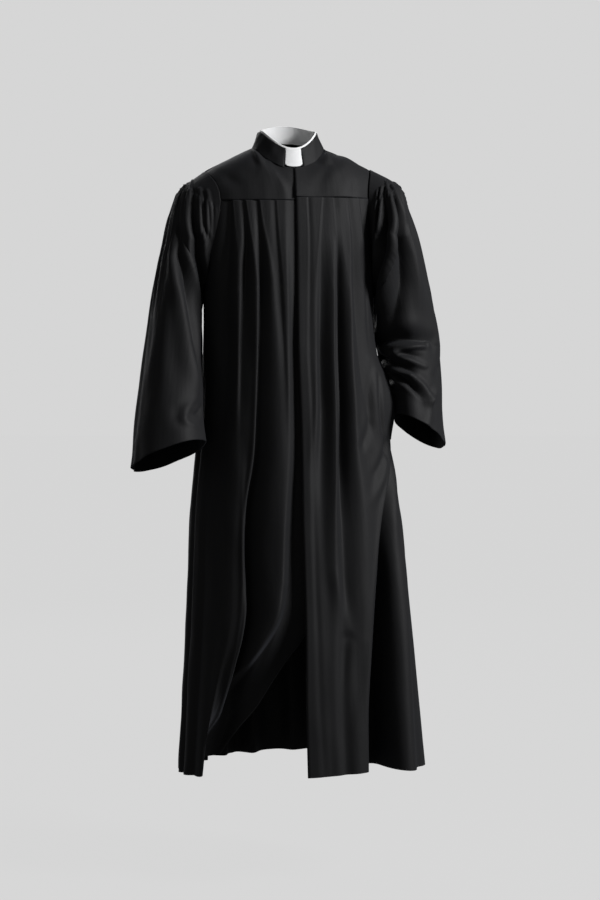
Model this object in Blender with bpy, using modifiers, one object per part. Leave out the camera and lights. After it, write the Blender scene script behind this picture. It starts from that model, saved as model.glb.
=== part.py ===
"""Pulpit robe in its worn form, with nobody in it.

Full-length black robe: deep yoke, pleated fronts and back, gathered bell sleeves, a standing collar
with a white band and tab, and a side pocket. Metres, +Z up. The front faces -Y, turned a little to
+X, which is the wearer's left. The origin is the middle of the neck, at the height where the collar
meets the shoulders. A "drop" is a distance below the origin. A "bearing" is an angle round the body
in degrees, seen from above: 0 is the centre front, 90 the wearer's left side, 180 the centre back and
-90 or 270 the right side.
"""
import bmesh
import bpy
import numpy as np

# Driving sizes
CLOTH = 0.0016
COLLAR_WALL = 0.0022
BAND_WALL = 0.0012
SEAM_GAP = 0.0003
ARMHOLE_GAP = 0.0011
SIDE_SEAM_GAP = 0.0008
COLLAR_FOOT = 0.0008
BAND_PROUD = 0.004
TAB_WIDTH = 0.040
TAB_WALL = 0.0016
NECK_TURN = 3.5  # degrees further to the wearer's left than the shoulders
FRONT_YOKE_DROP = {"left": 0.111, "right": 0.118}
BACK_YOKE_DROP = 0.130
UNDERARM_DROP = 0.310
HEM_DROP = 1.352
FRONT_EDGE = 0.005
FRONT_LAP = 0.042
SHOULDER_HALF_WIDTH = 0.182
SHOULDER_DROP = {"left": 0.044, "right": 0.052}
POCKET_TOP_DROP = 0.452
POCKET_END_DROP = 0.637
WELT_WALL = 0.0012
SIDE = {"left": 1, "right": -1}

BLACK_CLOTH = {"colour": (0.012, 0.012, 0.013, 1), "roughness": 0.75}
WHITE_LINEN = {"colour": (0.85, 0.86, 0.86, 1), "roughness": 0.6}


def table(columns, *rows):
    """Rows of numbers with named columns."""
    return np.array(list(rows), dtype=[(name, float) for name in columns.split()])


# Sections through the body: how far the cloth reaches to each side, how square the section is, and
# how far it is turned to the wearer's left, in degrees
BODY = table(
    "drop left right front back square turned",
    (0.110, 0.190, 0.190, 0.118, 0.105, 2.5, 6.5),
    (0.200, 0.190, 0.188, 0.131, 0.120, 2.5, 6.5),
    (0.310, 0.187, 0.184, 0.137, 0.127, 2.4, 6.5),
    (0.450, 0.194, 0.186, 0.142, 0.135, 2.3, 6.0),
    (0.570, 0.212, 0.193, 0.147, 0.146, 2.3, 5.5),
    (0.670, 0.229, 0.203, 0.154, 0.157, 2.2, 5.0),
    (0.760, 0.243, 0.211, 0.162, 0.168, 2.2, 4.0),
    (1.020, 0.272, 0.223, 0.184, 0.198, 2.2, 3.0),
    (1.215, 0.291, 0.233, 0.199, 0.220, 2.2, 2.0),
    (1.352, 0.304, 0.240, 0.208, 0.236, 2.2, 2.0),
)

# Pleats and long folds: bearing and depth at four levels, then the width of the trough on the side
# nearer the centre front, where a knife pleat is steep, and on the side away from it
LEVELS = np.array([0.110, 0.500, 0.950, 1.350])
PLEAT_COLUMNS = "yoke waist knee hem deep_yoke deep_waist deep_knee deep_hem near away"
PLEATS = {
    "front_right": table(
        PLEAT_COLUMNS,
        (-8.5, -5, -5, -5, 0.002, 0.001, 0, 0, 0.006, 0.010),
        (-18, -15.5, -12, -2, 0.003, 0.013, 0.006, 0.003, 0.011, 0.016),
        (-28, -27, -20, -10, 0.003, 0.016, 0.028, 0.020, 0.012, 0.026),
        (-40, -44, -46, -48, 0.003, 0.009, 0.006, 0.009, 0.011, 0.030),
        (-64, -66, -66, -67, 0.000, 0.006, 0.009, 0.014, 0.016, 0.018),
    ),
    "front_left": table(
        PLEAT_COLUMNS,
        (7.5, 7, 6, 5.5, 0.002, 0.003, 0.003, 0.003, 0.006, 0.010),
        (14.5, 14, 13, 12, 0.002, 0.007, 0.006, 0.004, 0.008, 0.010),
        (24.5, 23, 20, 18, 0.003, 0.013, 0.009, 0.004, 0.010, 0.014),
        (35, 32, 29, 27, 0.003, 0.012, 0.007, 0.006, 0.010, 0.014),
        (48, 45, 39, 36, 0.003, 0.005, 0.002, 0.004, 0.010, 0.016),
        (74, 70, 56, 48, 0.000, 0.002, 0.026, 0.044, 0.024, 0.046),
    ),
    "back": table(
        PLEAT_COLUMNS,
        (97, 96, 92, 90, 0.000, 0.004, 0.010, 0.016, 0.016, 0.020),
        (118, 116, 112, 108, 0.000, 0.007, 0.014, 0.022, 0.018, 0.024),
        (138, 136, 132, 128, 0.003, 0.011, 0.020, 0.030, 0.016, 0.022),
        (154, 152, 149, 147, 0.003, 0.010, 0.016, 0.022, 0.014, 0.020),
        (169, 168, 166, 164, 0.003, 0.011, 0.018, 0.028, 0.014, 0.018),
        (184, 184, 183, 182, 0.003, 0.008, 0.014, 0.020, 0.014, 0.016),
        (199, 200, 202, 203, 0.003, 0.012, 0.020, 0.032, 0.014, 0.022),
        (215, 217, 219, 220, 0.003, 0.009, 0.014, 0.020, 0.014, 0.020),
        (232, 234, 236, 238, 0.003, 0.010, 0.018, 0.030, 0.016, 0.024),
        (257, 256, 255, 254, 0.000, 0.007, 0.016, 0.026, 0.022, 0.026),
    ),
}

# Broad soft forms: where a shoulder blade, a thigh, a knee or the filled pocket swells the cloth
SWELLS = table(
    "bearing drop wide tall out",
    (38, 0.92, 0.090, 0.170, 0.012),
    (66, 0.575, 0.050, 0.075, 0.012),
    (-14, 1.07, 0.070, 0.120, 0.014),
    (145, 0.27, 0.070, 0.090, 0.008),
    (215, 0.27, 0.070, 0.090, 0.008),
)

# How much further down the hem is at each bearing
HEM = table(
    "bearing lower",
    (-90, 0.016),
    (-50, 0.008),
    (-30, 0.000),
    (0, 0.000),
    (35, -0.012),
    (60, -0.006),
    (90, 0.003),
    (130, 0.006),
    (180, 0.005),
    (220, 0.010),
    (270, 0.016),
)

# The armholes' edges, as a bearing away from the centre front at each drop; the backs are alike
ARMHOLE = table(
    "drop left_front right_front back",
    (0.110, 60, 49, 127),
    (0.150, 61, 52, 125),
    (0.200, 66, 58, 120),
    (0.250, 74, 67, 112),
    (0.285, 82, 77, 103),
    (0.310, 90, 90, 90),
)

# How the right front's free edge falls aside and back over a bent leg
SWING = table(
    "drop aside back up",
    (0.940, 0.000, 0.000, 0.000),
    (1.000, 0.010, 0.002, 0.000),
    (1.060, 0.042, 0.012, 0.000),
    (1.110, 0.078, 0.030, 0.000),
    (1.150, 0.103, 0.050, 0.001),
    (1.220, 0.145, 0.096, 0.003),
    (1.290, 0.195, 0.150, 0.006),
    (1.352, 0.232, 0.190, 0.010),
)

# The neckline, where the collar is sewn on, and the collar's upper edge
NECK = {
    "half_width": 0.080,
    "front": 0.085,
    "back": 0.068,
    "front_rise": -0.047,
    "side_rise": 0.0,
    "back_rise": 0.012,
}
COLLAR = {
    "half_width": 0.0655,
    "front": 0.078,
    "back": 0.054,
    "front_rise": -0.007,
    "side_rise": 0.036,
    "back_rise": 0.050,
}
COLLAR_HEIGHT = COLLAR["front_rise"] - NECK["front_rise"]
NOTCH_BEARING = np.degrees(np.arcsin((TAB_WIDTH / 2 + SEAM_GAP) / COLLAR["front"]))
NECK_SHARE = 0.5  # of a yoke's upper edge, the rest being the shoulder seam

# Stations down each sleeve, from the shoulder to the cuff: the centre, half the width from the inner
# to the outer side, half the depth from back to front, and in degrees how much the outer side is
# raised, the front side lifted, and the front side brought in towards the body
STATION_COLUMNS = "x y z wide deep raised lifted inward"
SLEEVE = {
    "right": table(
        STATION_COLUMNS,
        (0.2045, -0.004, -0.198, 0.119, 0.092, 82, 0, 0),
        (0.2215, -0.006, -0.238, 0.102, 0.096, 71, 0, 2),
        (0.2345, -0.014, -0.296, 0.078, 0.099, 57, 2, 4),
        (0.2420, -0.028, -0.363, 0.066, 0.100, 39, 4, 6),
        (0.2480, -0.050, -0.440, 0.063, 0.100, 21, 7, 8),
        (0.2525, -0.076, -0.524, 0.067, 0.103, 4, 10, 8),
        (0.2570, -0.104, -0.602, 0.073, 0.107, -8, 12, 8),
        (0.2560, -0.126, -0.668, 0.082, 0.112, -18, 14, 8),
    ),
    "left": table(
        STATION_COLUMNS,
        (0.2120, 0.010, -0.192, 0.120, 0.094, 80, 0, 0),
        (0.2290, 0.019, -0.238, 0.106, 0.098, 70, -3, -2),
        (0.2450, 0.034, -0.302, 0.086, 0.101, 55, -6, -2),
        (0.2580, 0.052, -0.368, 0.073, 0.103, 33, -8, 0),
        (0.2720, 0.064, -0.430, 0.066, 0.106, 10, -3, 4),
        (0.2790, 0.064, -0.490, 0.062, 0.110, -8, 4, 4),
        (0.2890, 0.054, -0.556, 0.056, 0.114, -20, 9, 3),
        (0.2925, 0.040, -0.620, 0.063, 0.118, -28, 13, 3),
    ),
}

STATION_PLACES = np.append(0, np.linspace(0.07, 1, 8))

# Folds down a sleeve, in degrees round it from the outer side (0) over the front (90) and the inner
# side (180) to the back (270): place at the head, elbow and cuff, depth at the three, and half width
SLEEVE_LEVELS = np.array([0.0, 0.55, 1.0])
SLEEVE_FOLD_COLUMNS = "head elbow cuff deep_head deep_elbow deep_cuff wide"
SLEEVE_FOLDS = {
    "right": table(
        SLEEVE_FOLD_COLUMNS,
        (20, 64, 84, 0.004, 0.006, 0.002, 16),
        (70, 105, 118, 0.005, 0.009, 0.004, 15),
        (118, 150, 158, 0.004, 0.006, 0.003, 15),
        (236, 225, 222, 0.004, 0.008, 0.005, 16),
        (285, 270, 262, 0.005, 0.009, 0.005, 16),
        (330, 318, 312, 0.004, 0.005, 0.004, 16),
    ),
    "left": table(
        SLEEVE_FOLD_COLUMNS,
        (30, 40, 30, 0.004, 0.004, 0.003, 16),
        (72, 84, 66, 0.006, 0.005, 0.003, 15),
        (112, 128, 110, 0.006, 0.010, 0.003, 15),
        (230, 215, 214, 0.004, 0.007, 0.005, 16),
        (282, 268, 258, 0.005, 0.006, 0.005, 16),
        (328, 316, 308, 0.004, 0.004, 0.004, 16),
    ),
}
GATHERED_TURN = 104
GATHER_STEP = 8
GATHER_DEPTH = 0.003
GATHER_REACH = 0.34

# Where the rows of each mesh lie, closer together where the form turns more
FRONT_ROWS = np.array([0.110, 0.155, 0.205, 0.255, 0.290, 0.310, 0.390, 0.452, 0.500, 0.545, 0.590, 0.637,
                       0.780, 0.930, 1.080, 1.170, 1.262, 1.352])
BACK_ROWS = np.array([0.130, 0.170, 0.215, 0.265, 0.310, 0.400, 0.520, 0.680, 0.850, 1.020, 1.185, 1.352])
BETWEEN_PLEATS = np.array([0.0, 0.35, 0.70, 0.88])
BETWEEN_BACK_PLEATS = np.array([0.0, 0.38, 0.80])
LEAST_STEP = 2.6


def read(places, values, at):
    """A smooth curve through the values, read at the given places."""
    places = np.asarray(places, float)
    values = np.asarray(values, float)
    slopes = np.gradient(values, places)
    at = np.clip(at, places[0], places[-1])
    i = np.clip(np.searchsorted(places, at, side="right") - 1, 0, len(places) - 2)
    step = places[i + 1] - places[i]
    t = (at - places[i]) / step
    stay, leave, arrive = 2 * t**3 - 3 * t**2 + 1, t**3 - 2 * t**2 + t, t**3 - t**2
    return stay * values[i] + (1 - stay) * values[i + 1] + step * (leave * slopes[i] + arrive * slopes[i + 1])


def soft_step(low, high, at):
    """0 below low, 1 above high, with a smooth rise between."""
    t = np.clip((at - low) / (high - low), 0, 1)
    return t * t * (3 - 2 * t)


def power(value, exponent):
    return np.sign(value) * np.abs(value) ** exponent


def unit(vectors):
    return vectors / np.linalg.norm(vectors, axis=-1, keepdims=True)


def turned(points, degrees):
    """The points turned about the upright axis through the neck."""
    sine, cosine = np.sin(np.radians(degrees)), np.cos(np.radians(degrees))
    x, y, z = points[..., 0], points[..., 1], points[..., 2]
    return np.stack([x * cosine - y * sine, x * sine + y * cosine, z], axis=-1)


# The body of the robe


def section(drop):
    """Half the width, the depth at the front and back, and the squareness of the section at a drop."""
    left, right, front, back, square = (
        read(BODY["drop"], BODY[name], drop) for name in ("left", "right", "front", "back", "square")
    )
    return (left + right) / 2, front, back, square


def metres_per_degree(drop):
    half, front, back, _ = section(drop)
    return np.pi / 180 * (2 * half + front + back) / 4


def bearing_at(x, drop):
    """The bearing of a point of the front that is x to the left of its middle."""
    half, _, _, square = section(drop)
    return np.degrees(np.arcsin(power(x / half, square / 2)))


def pleat_bearing(pleat, drop):
    return read(LEVELS, [pleat["yoke"], pleat["waist"], pleat["knee"], pleat["hem"]], drop)


def fold_depth(bearing, drop):
    """How far the pleats and long folds take the cloth inwards."""
    total = np.zeros_like(bearing)
    for pleat in np.concatenate(list(PLEATS.values())):
        depths = [pleat["deep_yoke"], pleat["deep_waist"], pleat["deep_knee"], pleat["deep_hem"]]
        out_from_front = 1 if pleat["yoke"] % 360 < 180 else -1
        across = (bearing - pleat_bearing(pleat, drop) + 180) % 360 - 180
        across = across * metres_per_degree(drop) * out_from_front
        wide = np.where(across < 0, pleat["near"], pleat["away"])
        total += read(LEVELS, depths, drop) * np.exp(-((across / wide) ** 2))
    for swell in SWELLS:
        across = ((bearing - swell["bearing"] + 180) % 360 - 180) * metres_per_degree(drop)
        down = drop - swell["drop"]
        total -= swell["out"] * np.exp(-((across / swell["wide"]) ** 2) - (down / swell["tall"]) ** 2)
    return total


def body_unturned(bearing, drop, out):
    """The outer face of the cloth, moved outwards by out, before it is turned and set over the hem."""
    half, front, back, square = section(drop)
    sine, cosine = np.sin(np.radians(bearing)), np.cos(np.radians(bearing))
    deep = np.where(cosine > 0, front, back)
    x, y = half * power(sine, 2 / square), -deep * power(cosine, 2 / square)
    facing_x, facing_y = power(sine, 2 - 2 / square) / half, -power(cosine, 2 - 2 / square) / deep
    facing = unit(np.stack([facing_x, facing_y, np.zeros_like(facing_x)], axis=-1))
    return np.stack([x, y, -drop], axis=-1) + facing * out[..., None]


def body(bearing, drop, out=0.0):
    """The outer face of the cloth below the yoke, moved outwards by out."""
    points = body_unturned(bearing, drop, out - fold_depth(bearing, drop))
    points = turned(points, read(BODY["drop"], BODY["turned"], drop))
    points[..., 0] += read(BODY["drop"], (BODY["left"] - BODY["right"]) / 2, drop)
    low_part = np.clip((drop - 0.9) / (HEM_DROP - 0.9), 0, 1)
    around = np.where(bearing < -90, bearing + 360, bearing)
    points[..., 2] -= np.interp(around, HEM["bearing"], HEM["lower"]) * low_part
    return points


def lap_depth(bearing, drop):
    """How much deeper the right front lies where the left front covers it, and for a little beside it."""
    edge = bearing_at(FRONT_EDGE, drop)
    under = read(LEVELS, [0.0048, 0.010, 0.012, 0.012], drop)
    return under * soft_step(edge - 8, edge - 1.5, bearing)


def along_knots(knots, u):
    """Reads between knots that each hold a bearing for every point; u counts knots."""
    knots = np.stack(knots)
    i = np.clip(u.astype(int), 0, len(knots) - 2)
    pick = np.arange(len(u))
    return knots[i, pick] + (knots[i + 1, pick] - knots[i, pick]) * (u - i)


def columns(panel, between):
    """Where a panel's mesh columns lie, counted in pleats, so that they follow the pleats down."""
    return np.append((np.arange(len(PLEATS[panel]) + 1)[:, None] + between).ravel(), len(PLEATS[panel]) + 1.0)


def armhole_bearing(side, half, drop):
    """The signed bearing of an armhole's edge."""
    column = "back" if half == "back" else side + "_front"
    return SIDE[side] * read(ARMHOLE["drop"], ARMHOLE[column], drop)


def side_edge(side, half, drop):
    """The signed bearing of a panel's edge: round the armhole to the underarm, and then at the side seam."""
    return np.where(drop < UNDERARM_DROP, armhole_bearing(side, half, drop), 90.0 * SIDE[side])


def panel_bearing(panel, start, end, u, drop):
    """The bearing at u; beside an armhole the outermost pleats' columns close up inside the edge."""
    step = np.sign(end - start) * LEAST_STEP
    knots = [start]
    for i, pleat in enumerate(PLEATS[panel]):
        first, last = start + step * (i + 1), end - step * (len(PLEATS[panel]) - i)
        knots.append(np.clip(pleat_bearing(pleat, drop), np.minimum(first, last), np.maximum(first, last)))
    return along_knots(knots + [end], u)


def seam_gap_degrees(drop):
    return SIDE_SEAM_GAP / metres_per_degree(drop) / 2


def swing(bearing, drop):
    weight = soft_step(-62, 4, bearing) ** 1.3
    aside, backwards, up = (read(SWING["drop"], SWING[name], drop) for name in ("aside", "back", "up"))
    return np.stack([-aside * weight, backwards * weight, up * weight], axis=-1)


def front_right(u, drop):
    drop = np.maximum(drop, FRONT_YOKE_DROP["right"] + SEAM_GAP)
    start = bearing_at(FRONT_EDGE + FRONT_LAP, drop)
    end = side_edge("right", "front", drop) + seam_gap_degrees(drop)
    bearing = panel_bearing("front_right", start, end, u, drop)
    return body(bearing, drop, out=-lap_depth(bearing, drop)) + swing(bearing, drop)


def pocket_opening(bearing, drop):
    """The pocket's free edge stands off the body where the hand goes in."""
    along = np.clip((drop - POCKET_TOP_DROP) / (POCKET_END_DROP - POCKET_TOP_DROP), 0, 1)
    return 0.019 * np.sin(np.pi * along) ** 1.2 * soft_step(58, 90, bearing)


def front_left(u, drop, out=0.0):
    drop = np.maximum(drop, FRONT_YOKE_DROP["left"] + SEAM_GAP)
    end = side_edge("left", "front", drop) - seam_gap_degrees(drop)
    bearing = panel_bearing("front_left", bearing_at(FRONT_EDGE, drop), end, u, drop)
    return body(bearing, drop, out=out + pocket_opening(bearing, drop))


def back(u, drop):
    drop = np.maximum(drop, BACK_YOKE_DROP + SEAM_GAP)
    start = side_edge("left", "back", drop) + seam_gap_degrees(drop)
    return body(panel_bearing("back", start, 360 - start, u, drop), drop)


def pocket_welt(u, drop):
    """The strip beside the pocket's opening, made from the left front's own points moved out."""
    return front_left(u, drop, out=WELT_WALL + 0.0008)


# The yoke and the collar


def neck_ring(sizes, bearing):
    """A ring round the neck that is lower at the front than at the sides and back."""
    sine, cosine = np.sin(np.radians(bearing)), np.cos(np.radians(bearing))
    front, behind = np.maximum(cosine, 0) ** 2, np.minimum(cosine, 0) ** 2
    y = -np.where(cosine > 0, sizes["front"], sizes["back"]) * cosine
    rise = sizes["side_rise"] + (sizes["front_rise"] - sizes["side_rise"]) * front
    rise = rise + (sizes["back_rise"] - sizes["side_rise"]) * behind
    return turned(np.stack([sizes["half_width"] * sine, y, rise], axis=-1), NECK_TURN)


def shoulder_seam(side, share):
    """From the neck (0) to the armhole (1), before the turn."""
    neck = neck_ring(NECK, np.array(90.0 * SIDE[side]))
    end = np.array([SIDE[side] * SHOULDER_HALF_WIDTH, 0.008, -SHOULDER_DROP[side]])
    line = neck + (end - neck) * share[..., None]
    line[..., 2] += 0.0015 * np.sin(np.pi * share)
    return line


def yoke(side, half, bearing, u, v, under=0.0):
    """Curves that rise from the seam under the yoke (v = 0) to the neckline and shoulder seam (v = 1).

    bearing gives the place on the lower seam, u from 0 at the middle of the robe to 1 at the armhole,
    and under how much deeper the cloth lies."""
    drop = np.full_like(u, FRONT_YOKE_DROP[side] if half == "front" else BACK_YOKE_DROP)
    middle = 0.0 if half == "front" else 180.0 * SIDE[side]
    forward = -1 if half == "front" else 1
    low = body_unturned(bearing, drop, np.zeros_like(u) - under)
    at_neck = np.clip(u / NECK_SHARE, 0, 1)
    off_middle = (bearing - middle) * (1 - at_neck)
    neck_bearing = middle + (90 * SIDE[side] - middle) * at_neck + off_middle
    high = neck_ring(NECK, neck_bearing)
    high[..., 1] -= forward * under * 0.8
    on_shoulder = np.clip((u - NECK_SHARE) / (1 - NECK_SHARE), 0, 1)
    high = np.where((u > NECK_SHARE)[..., None], shoulder_seam(side, on_shoulder), high)
    lean = soft_step(0, 1, at_neck)[..., None]
    rising = unit(np.array([0, -forward * 0.20, 1.0]))
    at_front = np.array([0, -forward * 0.62, 0.78])
    arriving = unit(at_front * (1 - lean) + np.array([0, -forward, 0.03]) * lean)
    reach = np.linalg.norm(high - low, axis=-1, keepdims=True) * 0.38
    second, third = low + rising * reach, high - arriving * reach
    t = v[..., None]
    curve = (1 - t) ** 3 * low + 3 * (1 - t) ** 2 * t * second + 3 * (1 - t) * t**2 * third + t**3 * high
    return turned(curve, BODY["turned"][0])


def yoke_edge(side, half, v):
    """The yoke's edge at the armhole."""
    drop = FRONT_YOKE_DROP[side] if half == "front" else BACK_YOKE_DROP
    return yoke(side, half, armhole_bearing(side, half, np.full_like(v, drop)), np.ones_like(v), v)


def inside_the_seams(v):
    """Leaves the seams' gaps at both edges of a yoke piece."""
    return 0.006 + v * 0.986


def yoke_front_left(u, v):
    start = bearing_at(FRONT_EDGE, FRONT_YOKE_DROP["left"])
    end = armhole_bearing("left", "front", FRONT_YOKE_DROP["left"])
    return yoke("left", "front", start + (end - start) * u, u, inside_the_seams(v))


def yoke_front_right(u, v):
    start = bearing_at(FRONT_EDGE + FRONT_LAP, FRONT_YOKE_DROP["right"])
    end = armhole_bearing("right", "front", FRONT_YOKE_DROP["right"])
    bearing = start + (end - start) * u
    under = lap_depth(bearing, np.full_like(u, FRONT_YOKE_DROP["right"]))
    return yoke("right", "front", bearing, u, inside_the_seams(v), under)


def yoke_back(u, v):
    """One piece across the back: u runs from the left armhole (-1) to the right one (1)."""
    share = np.abs(u)
    end = armhole_bearing("left", "back", BACK_YOKE_DROP)
    left = yoke("left", "back", 180 + (end - 180) * share, share, inside_the_seams(v))
    right = yoke("right", "back", -180 - (end - 180) * share, share, inside_the_seams(v))
    return np.where((u < 0)[..., None], left, right)


def collar_face(bearing, height, inward=0.0):
    """A point of the standing collar's outer face: height is 0 at the neckline and 1 at the top."""
    low, high = neck_ring(NECK, bearing), neck_ring(COLLAR, bearing)
    middle = (low + high) / 2 * np.array([0.975, 0.985, 1])
    t = height[..., None]
    sine, cosine = np.sin(np.radians(bearing)), np.cos(np.radians(bearing))
    outward = turned(np.stack([sine, -cosine, np.zeros_like(sine)], axis=-1), NECK_TURN)
    curve = (1 - t) ** 2 * low + 2 * (1 - t) * t * middle + t**2 * high
    return turned(curve - outward * inward, BODY["turned"][0])


def collar(u, v):
    foot = COLLAR_FOOT / COLLAR_HEIGHT
    return collar_face(NOTCH_BEARING + (360 - 2 * NOTCH_BEARING) * u, foot + (1 - foot) * v)


def collar_band(u, v):
    foot, top = 0.10, 1 + BAND_PROUD / COLLAR_HEIGHT
    return collar_face(360 * u, foot + (top - foot) * v, inward=COLLAR_WALL + 0.0013)


def collar_tab(u, v):
    half = NOTCH_BEARING - 0.5
    return collar_face(half * (2 * u - 1), 0.06 + 0.94 * v, inward=-0.0002)


# The sleeves


def spaced_along(line, share):
    """Points at the given shares of a line's length."""
    travelled = np.append(0, np.cumsum(np.linalg.norm(np.diff(line, axis=0), axis=1)))
    return np.stack([np.interp(share * travelled[-1], travelled, line[:, k]) for k in range(3)], axis=-1)


def armhole(side, turn):
    """The sleeve's own edge beside the armhole: from the shoulder down the front, and up the back."""
    rising = np.linspace(0, 1, 5)
    front_rows, back_rows = (rows[rows <= UNDERARM_DROP] for rows in (FRONT_ROWS, BACK_ROWS))
    front_rows = np.maximum(front_rows, FRONT_YOKE_DROP[side])
    front_edge = body(armhole_bearing(side, "front", front_rows), front_rows)
    back_edge = body(armhole_bearing(side, "back", back_rows), back_rows)
    down = np.concatenate([yoke_edge(side, "front", rising)[::-1], front_edge])
    up = np.concatenate([back_edge[::-1], yoke_edge(side, "back", rising)])
    on_front = spaced_along(down, np.clip(turn / 180, 0, 1))
    on_back = spaced_along(up, np.clip(turn / 180 - 1, 0, 1))
    points = np.where((turn <= 180)[..., None], on_front, on_back)
    points[..., 0] += SIDE[side] * ARMHOLE_GAP
    return points


def station_ring(side, station, turn):
    raised, lifted, inward = (np.radians(station[name]) for name in ("raised", "lifted", "inward"))
    outer = np.array([SIDE[side] * np.cos(raised), 0, np.sin(raised)])
    forward = np.array([-SIDE[side] * np.sin(inward), -np.cos(lifted) * np.cos(inward), np.sin(lifted)])
    centre = np.array([SIDE[side] * station["x"], station["y"], station["z"]])
    sine, cosine = np.sin(np.radians(turn))[..., None], np.cos(np.radians(turn))[..., None]
    across = power(cosine, 0.92) * station["wide"] * outer
    return centre + across + power(sine, 0.92) * station["deep"] * forward


def sleeve_form(side, turn, v):
    """The sleeve without its folds: at each turn, a smooth curve from the armhole through the stations."""
    turn = turn % 360
    rings = np.stack([armhole(side, turn)] + [station_ring(side, station, turn) for station in SLEEVE[side]])
    slopes = np.gradient(rings, STATION_PLACES, axis=0)
    i = np.clip(np.searchsorted(STATION_PLACES, v, side="right") - 1, 0, len(STATION_PLACES) - 2)
    step = (STATION_PLACES[i + 1] - STATION_PLACES[i])[..., None]
    t = (v - STATION_PLACES[i])[..., None] / step
    pick = np.arange(len(turn))
    stay, leave, arrive = 2 * t**3 - 3 * t**2 + 1, t**3 - 2 * t**2 + t, t**3 - t**2
    ends = stay * rings[i, pick] + (1 - stay) * rings[i + 1, pick]
    return ends + step * (leave * slopes[i, pick] + arrive * slopes[i + 1, pick])


def sleeve_depth(side, turn, v):
    """How far the gathers of the head and the long folds take a sleeve's cloth inwards."""
    gathered = soft_step(0.03, 0.12, v) * (1 - soft_step(0.10, GATHER_REACH, v))
    gathered *= 1 - soft_step(GATHERED_TURN - 24, GATHERED_TURN, np.abs((turn + 180) % 360 - 180))
    total = GATHER_DEPTH * gathered * (1 - np.cos(np.pi * (turn + GATHERED_TURN) / GATHER_STEP))
    settled = soft_step(0.04, 0.18, v)
    for fold in SLEEVE_FOLDS[side]:
        place = read(SLEEVE_LEVELS, [fold["head"], fold["elbow"], fold["cuff"]], v)
        deep = read(SLEEVE_LEVELS, [fold["deep_head"], fold["deep_elbow"], fold["deep_cuff"]], v)
        across = (turn - place + 180) % 360 - 180
        total += settled * deep * np.exp(-((across / fold["wide"]) ** 2))
    return total


def sleeve(side):
    def surface(turn, v):
        round_it = sleeve_form(side, turn + 0.4, v) - sleeve_form(side, turn - 0.4, v)
        above, below = np.clip(v - 0.001, 0, 1), np.clip(v + 0.001, 0, 1)
        down_it = sleeve_form(side, turn, below) - sleeve_form(side, turn, above)
        facing = unit(np.cross(down_it, round_it)) * SIDE[side]
        return sleeve_form(side, turn, v) - facing * sleeve_depth(side, turn, v)[..., None]

    return surface


# Making the pieces


def material(name, cloth):
    made = bpy.data.materials.new(name)
    made.use_nodes = True
    shader = made.node_tree.nodes["Principled BSDF"]
    shader.inputs["Base Color"].default_value = cloth["colour"]
    shader.inputs["Roughness"].default_value = cloth["roughness"]
    shader.inputs["Metallic"].default_value = 0
    return made


def cloth_piece(name, surface, across, down, wall, cloth, collection, inside=(0, 0, -0.4)):
    """A grid laid on the surface at the given places, with its thickness towards the point inside.

    A tube, whose first and last columns meet, has None for that point."""
    grid = bmesh.new()
    bmesh.ops.create_grid(grid, x_segments=len(across) - 1, y_segments=len(down) - 1, size=0.5)
    place = np.array([vertex.co for vertex in grid.verts]) + 0.5
    column = np.rint(place[:, 0] * (len(across) - 1)).astype(int)
    row = np.rint(place[:, 1] * (len(down) - 1)).astype(int)
    points = surface(np.asarray(across, float)[column], np.asarray(down, float)[row])
    for vertex, point in zip(grid.verts, points):
        vertex.co = point
    if inside is None:
        inside = points.mean(axis=0)
        bmesh.ops.remove_doubles(grid, verts=grid.verts, dist=1e-6)
    grid.normal_update()
    outward = 0.0
    for face in grid.faces:
        outward += np.dot(face.normal, np.array(face.calc_center_median()) - inside) * face.calc_area()
    if outward < 0:
        bmesh.ops.reverse_faces(grid, faces=grid.faces)
    mesh = bpy.data.meshes.new(name)
    grid.to_mesh(mesh)
    grid.free()
    mesh.shade_smooth()
    mesh.materials.append(material(name + " cloth", cloth))
    piece = bpy.data.objects.new(name, mesh)
    collection.objects.link(piece)
    shell = piece.modifiers.new("cloth thickness", "SOLIDIFY")
    shell.thickness = wall
    shell.offset = -1


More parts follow.
